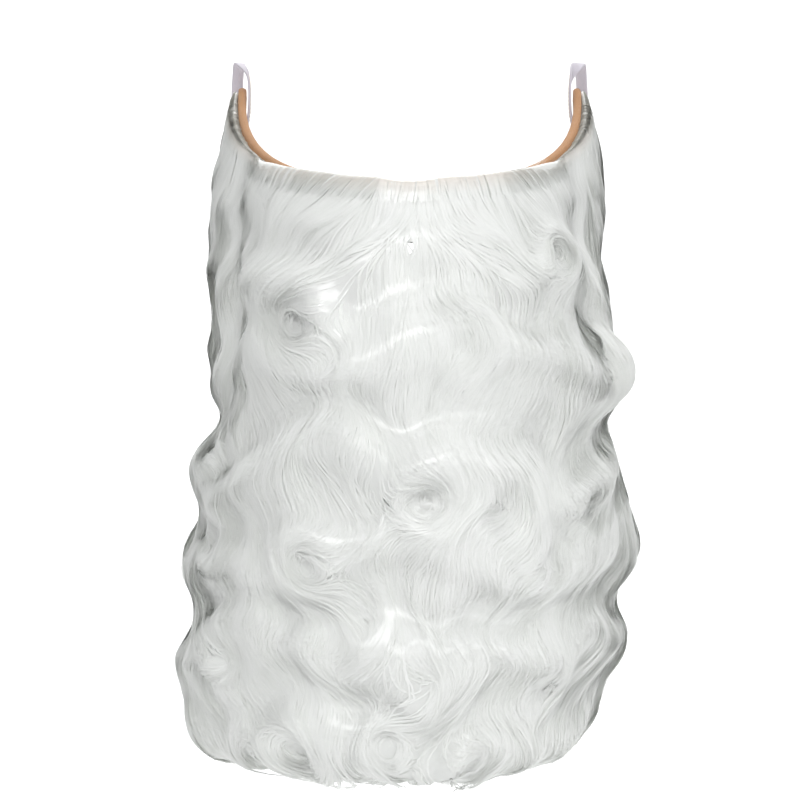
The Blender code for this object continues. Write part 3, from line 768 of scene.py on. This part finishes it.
def lay_strays(patch, rng, count, stations=22):
    """Single long hairs that leave the moustache's upper edge and lie along the wearer's left cheek."""
    t = np.linspace(0, 1, stations)
    start, end = rng.uniform(6, 40, (count, 1)), rng.uniform(52, 68, (count, 1))
    low = -61 + 0.05 * start + rng.uniform(-4, 0, (count, 1))
    high = -60 + rng.uniform(8, 32, (count, 1))
    bow = rng.uniform(-7, 2, (count, 1)) * np.sin(math.pi * t)
    x = start + (end - start) * t
    z = low + (high - low) * t**1.6 + bow
    y = CHEEK_MIDDLE - CHEEK_DEPTH * np.sqrt(1 - (x / CHEEK_HALF_WIDTH) ** 2)
    points = np.stack([x, y, z], axis=-1)
    half = 0.13 * (1 - 0.7 * t) * np.ones_like(x)
    edge = np.array([0.0, 0.3, 1.0]) * half[..., None]
    add_ribbons(patch, points, edge, STRAY_LENGTH * t + 0 * x, 0.5, 0 * x)


def level_line(level):
    return lambda turn: level + 0 * turn


def lay_layer(patch, flow, rng, name, spans, start):
    """A piece's locks, and the single hairs on every second one; gives the depths of their roots."""
    layer = dict(zip(LAYER_COLUMNS, LAYERS[name]))
    roots = scattered_roots(rng, spans, layer["spacing"], layer["depths"], start)
    lay_locks(patch, flow, rng, roots, layer["long"], layer["wide"], layer["strands"])
    lay_locks(patch, flow, rng, roots[::2], layer["hairs_long"], layer["hairs_wide"], layer["hairs"],
              fine=True)
    return layer["depths"]


def roll_edge(patch, flow, inner, rng, name, spans, ends):
    """Strands that roll over the upper edge, and the roll beneath them from one end to the other."""
    roll = dict(zip(ROLL_COLUMNS, ROLLS[name]))
    turns = np.arange(*spans, roll["spacing"])
    roots = [(turn, float(flow.form.top_at(turn)) - roll["drop"]) for turn in turns]
    lay_locks(patch, flow, rng, roots, roll["long"], roll["wide"], roll["strands"], rim=inner)
    lay_roll(patch, flow.form, inner, ends, roll["drop"])


def build_moustache(settings):
    flow, inner, _, material = Hair.get(settings)
    patch, rng, reach = Patch(), np.random.default_rng(settings.seed), MOUSTACHE_TURN
    core(patch, flow, inner, (-reach, reach), top_line(flow.form, 2.5), level_line(MOUSTACHE_END))
    lay_layer(patch, flow, rng, "moustache", (1 - reach, reach - 1), flow.form.top_at)
    roll_edge(patch, flow, inner, rng, "moustache", (2 - reach, reach - 1), (0.5 - reach, reach - 0.5))
    lay_curls(patch, flow, rng, 40, 14, (-130, -60))
    lay_strays(patch, rng, settings.loose_hairs)
    piece = patch.build("moustache_locks", material)
    finish_piece(piece, ["moustache"])


def build_cheeks(settings):
    flow, inner, _, material = Hair.get(settings)
    for side, name in ((-1, "right"), (1, "left")):
        patch, rng = Patch(), np.random.default_rng(settings.seed + 2 + side)
        low, high = sorted(side * turn for turn in CHEEK_TURNS)
        core(patch, flow, inner, (low, high), top_line(flow.form, 2.0), level_line(CHEEK_END), columns=44)
        lay_layer(patch, flow, rng, "cheeks", (low, high), flow.form.top_at)
        roll_edge(patch, flow, inner, rng, "cheeks", (low + 1, high + 1), (low + 0.5, high + 1.5))
        piece = patch.build(f"cheek_locks_{name}", material)
        finish_piece(piece, [f"cheek_hair_{name}"])


def build_row(settings, seed, name, level, bottom, curls_between):
    """A row of hair from a level down, and its side that lies against the wearer."""
    flow, inner, below, material = Hair.get(settings)
    patch, rng = Patch(), np.random.default_rng(seed)
    core(patch, flow, inner, (-ROW_TURN, ROW_TURN), level_line(level + 8), bottom, columns=110)
    depths = lay_layer(patch, flow, rng, name, (4 - ROW_TURN, ROW_TURN - 4), level_line(level))
    lay_curls(patch, flow, rng, 44, 9, curls_between)
    piece = patch.build(f"{name}_locks", material)
    finish_piece(piece, [f"beard_{name}"])

    under = Patch()
    roots = scattered_roots(rng, (2 - ROW_TURN, ROW_TURN - 2), 10.0, depths[1:], level_line(level))
    lay_locks(under, below, rng, roots, 66, 13, 30, stations=14)
    piece = under.build(f"{name}_underside", material)
    finish_piece(piece)


def build_upper_row(settings):
    seed, bottom = settings.seed + 11, level_line(UPPER_ROW_END)
    build_row(settings, seed, "upper_row", UPPER_ROW_START, bottom, (-230, -130))


def build_lower_row(settings):
    seed, outer = settings.seed + 17, Hair.get(settings)[0].form
    build_row(settings, seed, "lower_row", LOWER_ROW_START, lambda turn: outer.bottom_at(turn) + 2,
              (-310, -230))


def upper_edge(s):
    """Height of the backing's upper edge, from ear to ear under the nose."""
    return -60 + 47 * np.abs(s) ** 2.6 - 2.5 * np.exp(-((s / 0.13) ** 2))


def lower_edge(s):
    return -134 + 60 * s**2


def slit_reach(x, z):
    """How far places lie from the middle of the mouth slit: 1 is on its edge."""
    return np.hypot(x / SLIT_HALF_WIDTH, (z - SLIT_Z) / SLIT_HALF_HEIGHT)


def face_turn(s):
    """Turn of a place on the face: s runs from -1 at the right ear, past 0 in front, to 1."""
    return np.degrees(np.arctan2(0.72 * np.sin(s * math.pi / 2), np.cos(s * math.pi / 2)))


def run_along(points):
    """Distance along a line of points."""
    return np.r_[0, np.cumsum(np.linalg.norm(np.diff(points, axis=0), axis=1))]


def sweep_grid(rings):
    """Quads and texture places of a tube through rings of points, open at its ends."""
    count, sides = rings.shape[:2]
    corner = np.arange(count - 1)[:, None] * sides + np.arange(sides)
    after = np.arange(count - 1)[:, None] * sides + (np.arange(sides) + 1) % sides
    quads = np.stack([corner, after, after + sides, corner + sides], axis=-1).reshape(-1, 4)
    run = run_along(rings.mean(axis=1))
    round_it = np.linspace(0, 1, sides)
    uv = np.stack(np.broadcast_arrays(round_it[None, :], run[:, None] * MM), axis=-1)
    return quads, uv


def add_tube(patch, rings):
    """A tube through rings, with a ring shrunk to a point closing each end."""
    ends = [np.broadcast_to(rings[i].mean(axis=0), rings[i].shape)[None] for i in (0, -1)]
    rings = np.concatenate([ends[0], rings, ends[1]])
    quads, uv = sweep_grid(rings)
    patch.add(rings, quads, uv, np.zeros(rings.shape[:2]))


def thread(patch, points, normals, radius, sides=5):
    """A sewing thread along points, raised on the cloth."""
    along = unit(np.gradient(points, axis=0))
    side = unit(np.cross(along, normals))
    up = np.cross(side, along)
    angle = np.arange(sides) * 2 * math.pi / sides
    ring = side[:, None] * np.cos(angle)[None, :, None] + up[:, None] * np.sin(angle)[None, :, None]
    add_tube(patch, points[:, None] + ring * radius)


def stitches(patch, points, normals, gap):
    """Running stitches along points: short raised threads that dip into the cloth at both ends."""
    run = run_along(points)
    for start in np.arange(0, run[-1] - gap, gap):
        at = np.linspace(start, start + gap * STITCH_SHARE, 6)
        place = np.stack([np.interp(at, run, points[:, i]) for i in range(3)], 1)
        facing = unit(np.stack([np.interp(at, run, normals[:, i]) for i in range(3)], 1))
        arch = STITCH_LIFT * np.sin(np.linspace(0, math.pi, 6)) ** 0.6 - 0.05
        thread(patch, place + facing * arch[:, None], facing, STITCH_RADIUS)


def cloth_material(name, light, dark, roughness, threads, mottle, sheen):
    """Woven cloth with the threads' grid as bump, and a faint mottling from wear."""
    material, tree = new_material(name)
    place = add_node(tree, "UVMap", {"uv_map": "UVMap"})
    grid = add_node(tree, "Mapping", {"Scale": (threads[0], threads[1], 1.0)},
                    {"Vector": place.outputs["UV"]})
    warp = add_node(tree, "TexWave", {"bands_direction": "X", "Scale": 1.0, "Distortion": 0.4},
                    {"Vector": grid.outputs["Vector"]})
    weft = add_node(tree, "TexWave", {"bands_direction": "Y", "Scale": 1.0, "Distortion": 0.4},
                    {"Vector": grid.outputs["Vector"]})
    weave = add_node(tree, "Math", {"operation": "MULTIPLY"})
    tree.links.new(warp.outputs["Fac"], weave.inputs[0])
    tree.links.new(weft.outputs["Fac"], weave.inputs[1])
    where = add_node(tree, "TexCoord")
    patches = add_node(tree, "TexNoise", {"Scale": mottle, "Detail": 4.0},
                       {"Vector": where.outputs["Object"]})
    mixed = add_node(tree, "Mix", {"data_type": "FLOAT", "Factor": 0.45},
                     {"A": weave.outputs["Value"], "B": patches.outputs["Fac"]})
    colour = mixed_colour(tree, mixed.outputs["Result"], dark, light)
    relief = add_node(tree, "Bump", {"Strength": 0.6, "Distance": 0.0003},
                      {"Height": weave.outputs["Value"]})
    shader = add_node(tree, "BsdfPrincipled",
                      {"Roughness": roughness, "IOR": 1.5, "Sheen Weight": sheen, "Sheen Roughness": 0.5},
                      {"Base Color": colour, "Normal": relief.outputs["Normal"]})
    add_node(tree, "OutputMaterial", {}, {"Surface": shader.outputs[0]})
    return material


def build_backing(settings):
    """The cloth the hair is sewn to: lightly puckered, open at the mouth, with its rows of sewing."""
    inner = Form(("backing",), -1, (0.7, 0.7))
    patch = Patch()
    columns, rows = 131, 51
    s = np.linspace(-0.995, 0.995, columns)[None, :]
    t = np.linspace(0, 1, rows)[:, None]
    z = upper_edge(s) + (lower_edge(s) - upper_edge(s)) * t - 0.3
    turn = np.broadcast_to(face_turn(s), z.shape)
    places = inner.surface(turn, z)
    reach = slit_reach(places[..., 0], z)
    front = np.abs(turn) < 40
    rim = front & (reach > 0.72) & (reach < 1.30)
    z = np.where(rim, SLIT_Z + (z - SLIT_Z) / reach, z)
    pucker = 0.16 * np.sin(turn * 1.9 + 2.0 * np.sin(z * 0.21)) + 0.14 * np.sin(z * 0.57)
    faces = grid_quads(rows, columns)
    inside = (front & (reach < 1.30)).ravel()
    faces = faces[~inside[faces].all(axis=1)]
    near, far = (inner.place(turn, z, height)[0]
                 for height in (CLOTH_FACES[0] + 0.6 * pucker, CLOTH_FACES[1] + 0.2 * pucker))
    along = np.linalg.norm(np.diff(places, axis=1, prepend=places[:, :1]), axis=-1).cumsum(axis=1)
    uv = np.stack([along * MM, z * MM], axis=-1)
    patch.add(near, faces, uv, np.zeros(z.shape))
    patch.add(far, faces[:, ::-1], uv, np.zeros(z.shape))
    close_skins(patch, faces, rows * columns)
    tones = settings.backing, settings.backing_dark
    cloth = cloth_material("backing_cloth", *tones, 0.9, (900.0, 900.0), 90.0, 0.25)
    piece = patch.build("backing_cloth", cloth)
    finish_piece(piece, ["backing"])

    sewing = Patch()
    s = np.linspace(-0.97, 0.97, 420)
    swing = np.sin(s * ZIGZAG_TURNS)
    for drop in np.arange(*SEWING_ROWS):
        z = upper_edge(s) - drop + ZIGZAG_HALF_HEIGHT * np.sign(swing) * np.abs(swing) ** 0.5
        shown = z > lower_edge(s) + 3.0
        shown &= (slit_reach(inner.surface(face_turn(s), z)[:, 0], z) > 1.5) | (np.abs(face_turn(s)) > 40)
        for run in np.split(np.arange(len(s)), np.where(~shown)[0]):
            run = run[shown[run]]
            if len(run) > 8:
                points, normals = inner.place(face_turn(s[run]), z[run], np.full(len(run), 0.62))
                thread(sewing, points, normals, 0.17, 4)
    piece = sewing.build("backing_sewing", thread_material(settings))
    finish_piece(piece)


def thread_material(settings):
    """Spun polyester sewing thread, off-white and slightly shiny, with its twist as bump."""
    material, tree = new_material("sewing_thread")
    place = add_node(tree, "UVMap", {"uv_map": "UVMap"})
    twist = add_node(tree, "TexWave", {"bands_direction": "DIAGONAL", "Scale": 900.0},
                     {"Vector": place.outputs["UV"]})
    colour = mixed_colour(tree, twist.outputs["Fac"], settings.thread_dark, settings.thread)
    relief = add_node(tree, "Bump", {"Strength": 0.4, "Distance": 0.0001},
                      {"Height": twist.outputs["Fac"]})
    shader = add_node(tree, "BsdfPrincipled", {"Roughness": 0.55, "IOR": 1.5},
                      {"Base Color": colour, "Normal": relief.outputs["Normal"]})
    add_node(tree, "OutputMaterial", {}, {"Surface": shader.outputs[0]})
    return material


def build_binding(settings):
    """Tan tape folded over the backing's upper edge, with a line of stitches through both legs."""
    inner = Form(("backing",), -1, (0.7, 0.7))
    s = np.linspace(-0.998, 0.998, 300)
    z = upper_edge(s)
    place, normal = inner.place(face_turn(s), z, np.full(len(s), -0.8))
    normal = -normal
    along = unit(np.gradient(place, axis=0))
    rise = unit(np.cross(along, normal))
    rise = rise * np.sign(rise[:, 2:3])
    out, leg, cloth = TAPE_HALF, TAPE_LEG, TAPE_CLOTH
    bow = np.linspace(math.pi, 0, 9)
    outside = [(-out, -leg), (-out, -leg * 0.5)] + [(out * math.cos(a), 0.6 + 1.5 * math.sin(a)) for a in bow]
    outside += [(out, -leg * 0.5), (out, -leg)]
    within = [(out - cloth, -leg), (out - cloth, 0.2), (0.0, 0.9), (cloth - out, 0.2), (cloth - out, -leg)]
    profile = np.array(outside + within)
    pucker = 0.12 * np.sin(s * 420)[:, None]
    rings = place[:, None] + normal[:, None] * (profile[None, :, 0:1] * (1 + 0.25 * pucker[..., None]))
    rings = rings + rise[:, None] * (profile[None, :, 1:2] + pucker[..., None] * 0.5)
    patch = Patch()
    add_tube(patch, rings)
    tones = settings.tape, settings.tape_dark
    tape = cloth_material("binding_tape", *tones, 0.85, (60.0, 1500.0), 140.0, 0.2)
    piece = patch.build("binding_tape", tape)
    finish_piece(piece, ["edge_binding"])
    sewing = Patch()
    for way in (1, -1):
        stitches(sewing, place + normal * way * (out + 0.02) - rise * 2.6, normal * way, 2.6)
    piece = sewing.build("binding_stitches", thread_material(settings))
    finish_piece(piece)


def smooth_route(rows, stations):
    """Rows evenly spaced by the first two columns on a smooth curve through a table's rows."""
    rows = np.array(rows, float)
    ends = np.vstack([2 * rows[0] - rows[1], rows, 2 * rows[-1] - rows[-2]])
    fine = []
    for a, b, c, d in zip(ends, ends[1:], ends[2:], ends[3:]):
        for t in np.linspace(0, 1, 12, endpoint=False):
            fine.append(b + (c - a) / 2 * t + (a - 2.5 * b + 2 * c - d / 2) * t**2
                        + (1.5 * (b - c) + (d - a) / 2) * t**3)
    fine = np.array(fine + [rows[-1]])
    length = run_along(fine[:, :2])
    even = np.linspace(0, length[-1], stations)
    return np.stack([np.interp(even, length, fine[:, i]) for i in range(fine.shape[1])], axis=1)


def build_ear_loops(settings):
    """Flat woven elastic with raised cords along it, sewn to the backing's corners."""
    tones = settings.elastic, settings.elastic_dark
    elastic = cloth_material("elastic", *tones, 0.65, (5.0, 2200.0), 200.0, 0.1)
    for side, name in ((-1, "right"), (1, "left")):
        tree = solid_tree((f"ear_loop_{name}",))
        route = dict(zip(LOOP_COLUMNS, smooth_route(LOOP_ROUTE, 150).T))
        points = []
        for y, z in zip(route["y"], route["z"]):
            start = [Vector((side * x, y, z)) * MM for x in (30, 130)]
            hits = [tree.ray_cast(start[i], Vector((side * (1, -1)[i], 0, 0)))[0] for i in (0, 1)]
            x = np.mean([h.x for h in hits if h is not None]) / MM if any(hits) else np.nan
            points.append((x, y, z))
        points = np.array(points)
        known = ~np.isnan(points[:, 0])
        order = np.arange(len(points))
        points[:, 0] = np.interp(order, order[known], points[known, 0])
        points[:, 0] = smooth_grid(points[:, 0][None, :], (0.1, 2.0))[0]
        along = unit(np.gradient(points, axis=0))
        outwards = np.array([side, 0.0, 0.0])
        sideways = unit(outwards - along * (along @ outwards)[:, None])
        flat = np.cross(along, sideways)
        angle = np.radians(route["turn"])[:, None]
        across = flat * np.cos(angle) + sideways * np.sin(angle)
        through = np.cross(along, across)
        place = np.linspace(-1, 1, 21)
        cords = ELASTIC_HALF_THICKNESS + 0.14 * np.abs(np.cos(place * 2.5 * math.pi))
        cords = cords * np.sqrt(np.clip(1.04 - np.abs(place) ** 8, 0, 1))
        wide = place * ELASTIC_HALF_WIDTH
        profile = np.concatenate([np.stack([wide, cords], 1), np.stack([wide, -cords], 1)[::-1]])
        rings = points[:, None] + across[:, None] * profile[None, :, 0:1]
        rings = rings + through[:, None] * profile[None, :, 1:2]
        patch = Patch()
        add_tube(patch, rings)
        piece = patch.build(f"ear_elastic_{name}", elastic)
        finish_piece(piece, [f"ear_loop_{name}"])
        sewing = Patch()
        for part in (slice(6, 30), slice(-26, -4)):
            for edge in (-1.5, 1.5):
                facing = -sideways[part]
                stitches(sewing, points[part] + across[part] * edge + facing * 0.55, facing, 1.8)
        piece = sewing.build(f"ear_stitches_{name}", thread_material(settings))
        finish_piece(piece)


def build_stage(settings):
    """A pale seamless sweep, soft lights from the front and above, and the camera."""
    material, tree = new_material("studio_paper")
    shader = add_node(tree, "BsdfPrincipled", {"Base Color": settings.backdrop, "Roughness": 0.9})
    add_node(tree, "OutputMaterial", {}, {"Surface": shader.outputs[0]})
    profile = [(FLOOR_FRONT, FLOOR_Z)]
    profile += [(BACK_Y - BEND + BEND * math.sin(a), FLOOR_Z + BEND - BEND * math.cos(a))
                for a in np.linspace(0, math.pi / 2, 16)]
    profile += [(BACK_Y, BACK_TOP)]
    bm = bmesh.new()
    rows = [[bm.verts.new((x, y, z)) for y, z in profile] for x in (-HALF_SWEEP, HALF_SWEEP)]
    for i in range(len(profile) - 1):
        bm.faces.new((rows[0][i], rows[1][i], rows[1][i + 1], rows[0][i + 1]))
    mesh = bpy.data.meshes.new("sweep")
    bm.to_mesh(mesh)
    bm.free()
    mesh.shade_smooth()
    mesh.materials.append(material)
    new_object("sweep", mesh)

    for row in LAMPS:
        lamp = dict(zip(LAMP_COLUMNS, row))
        light = bpy.data.lights.new(lamp["name"], "AREA")
        light.size = lamp["size"]
        light.energy = lamp["watts"]
        holder = new_object(lamp["name"], light)
        holder.location = lamp["place"]
        ray = Vector(lamp["aim"]) - Vector(lamp["place"])
        holder.rotation_euler = ray.to_track_quat("-Z", "Y").to_euler()
    world = bpy.data.worlds.new("studio")
    world.use_nodes = True
    world.node_tree.nodes["Background"].inputs["Color"].default_value = linear("#FAFBFC")
    world.node_tree.nodes["Background"].inputs["Strength"].default_value = SKY_STRENGTH
    scene = bpy.context.scene
    scene.world = world
    scene.view_settings.view_transform = "Standard"

    camera = bpy.data.cameras.new("camera")
    camera.lens = settings.lens
    viewer = new_object("camera", camera)
    viewer.location = (CAMERA_X, BEARD_FRONT_Y - settings.distance, CAMERA_Z)
    viewer.rotation_euler = (math.pi / 2, 0, 0)
    scene.camera = viewer


def colour_property(name, description, hex_colour):
    return bpy.props.FloatVectorProperty(
        name=name, description=description, subtype="COLOR", size=4, min=0, max=1, default=linear(hex_colour)
    )


class BeardSettings(bpy.types.PropertyGroup):
    seed: bpy.props.IntProperty(name="Seed", description="Start of the hair's random numbers", default=7)
    relief: bpy.props.FloatProperty(
        name="Relief", description="Height of waves and curls, 1 as made", default=1.0, subtype="FACTOR"
    )
    loose_hairs: bpy.props.IntProperty(
        name="Loose Hairs", description="Single hairs along the wearer's left cheek", default=12, min=1
    )
    hair: colour_property("Hair", "Light tone of the hair", "#FEFEFE")
    hair_dark: colour_property("Hair, Dark", "Dark tone of the hair", "#EDEFEC")
    backing: colour_property("Backing", "Light tone of the cloth", "#E9C1A0")
    backing_dark: colour_property("Backing, Dark", "Dark tone of the cloth", "#D5A07C")
    tape: colour_property("Tape", "Light tone of the tape", "#D9A878")
    tape_dark: colour_property("Tape, Dark", "Dark tone of the tape", "#B9814F")
    elastic: colour_property("Elastic", "Light tone of the ear loops", "#E9E5EC")
    elastic_dark: colour_property("Elastic, Dark", "Dark tone of the ear loops", "#C9C3CE")
    thread: colour_property("Thread", "Light tone of the sewing thread", "#F4EFE6")
    thread_dark: colour_property("Thread, Dark", "Dark tone of the sewing thread", "#DDD3C4")


class StageSettings(bpy.types.PropertyGroup):
    backdrop: colour_property("Backdrop", "Colour of the sweep", "#FCFCFC")
    lens: bpy.props.FloatProperty(
        name="Lens", description="Focal length of the camera", default=138.5, unit="CAMERA"
    )
    distance: bpy.props.FloatProperty(
        name="Distance", description="From the beard's front to the camera", default=1.25, unit="LENGTH"
    )


class BEARD_OT_backing(bpy.types.Operator):
    """Builds the cloth backing and its sewing"""

    bl_idname = "beard.backing"
    bl_label = "Backing"

    def execute(self, context):
        build_backing(context.scene.beard)
        return {"FINISHED"}


class BEARD_OT_binding(bpy.types.Operator):
    """Builds the tape along the backing's upper edge"""

    bl_idname = "beard.binding"
    bl_label = "Edge Binding"

    def execute(self, context):
        build_binding(context.scene.beard)
        return {"FINISHED"}


class BEARD_OT_ear_loops(bpy.types.Operator):
    """Builds the two elastic ear loops"""

    bl_idname = "beard.ear_loops"
    bl_label = "Ear Loops"

    def execute(self, context):
        build_ear_loops(context.scene.beard)
        return {"FINISHED"}


class BEARD_OT_moustache(bpy.types.Operator):
    """Builds the moustache, the top layer of hair in front"""

    bl_idname = "beard.moustache"
    bl_label = "Moustache"

    def execute(self, context):
        build_moustache(context.scene.beard)
        return {"FINISHED"}


class BEARD_OT_cheeks(bpy.types.Operator):
    """Builds the hair on both cheeks"""

    bl_idname = "beard.cheeks"
    bl_label = "Cheek Hair"

    def execute(self, context):
        build_cheeks(context.scene.beard)
        return {"FINISHED"}


class BEARD_OT_upper_row(bpy.types.Operator):
    """Builds the row of hair that is sewn on along the jaw"""

    bl_idname = "beard.upper_row"
    bl_label = "Upper Row"

    def execute(self, context):
        build_upper_row(context.scene.beard)
        return {"FINISHED"}


class BEARD_OT_lower_row(bpy.types.Operator):
    """Builds the longest row of hair, down to the beard's tip"""

    bl_idname = "beard.lower_row"
    bl_label = "Lower Row"

    def execute(self, context):
        build_lower_row(context.scene.beard)
        return {"FINISHED"}


class BEARD_OT_stage(bpy.types.Operator):
    """Builds the floor, lights and camera"""

    bl_idname = "beard.stage"
    bl_label = "Stage"

    def execute(self, context):
        build_stage(context.scene.beard_stage)
        return {"FINISHED"}


OPERATORS = (
    BEARD_OT_backing,
    BEARD_OT_binding,
    BEARD_OT_ear_loops,
    BEARD_OT_moustache,
    BEARD_OT_cheeks,
    BEARD_OT_upper_row,
    BEARD_OT_lower_row,
    BEARD_OT_stage,
)


class BEARD_PT_panel(bpy.types.Panel):
    """Steps that build the beard"""

    bl_idname = "BEARD_PT_panel"
    bl_label = "False Beard"
    bl_space_type = "VIEW_3D"
    bl_region_type = "UI"
    bl_category = "Beard"

    def draw(self, context):
        for operator in OPERATORS:
            self.layout.operator(operator.bl_idname)


CLASSES = (BeardSettings, StageSettings, *OPERATORS, BEARD_PT_panel)


def register():
    for cls in CLASSES:
        bpy.utils.register_class(cls)
    bpy.types.Scene.beard = bpy.props.PointerProperty(type=BeardSettings)
    bpy.types.Scene.beard_stage = bpy.props.PointerProperty(type=StageSettings)


def unregister():
    del bpy.types.Scene.beard_stage
    del bpy.types.Scene.beard
    for cls in reversed(CLASSES):
        bpy.utils.unregister_class(cls)


def main():
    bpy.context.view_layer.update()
    register()
    for operator in OPERATORS:
        group, name = operator.bl_idname.split(".")
        getattr(getattr(bpy.ops, group), name)()


if __name__ == "__main__":
    main()
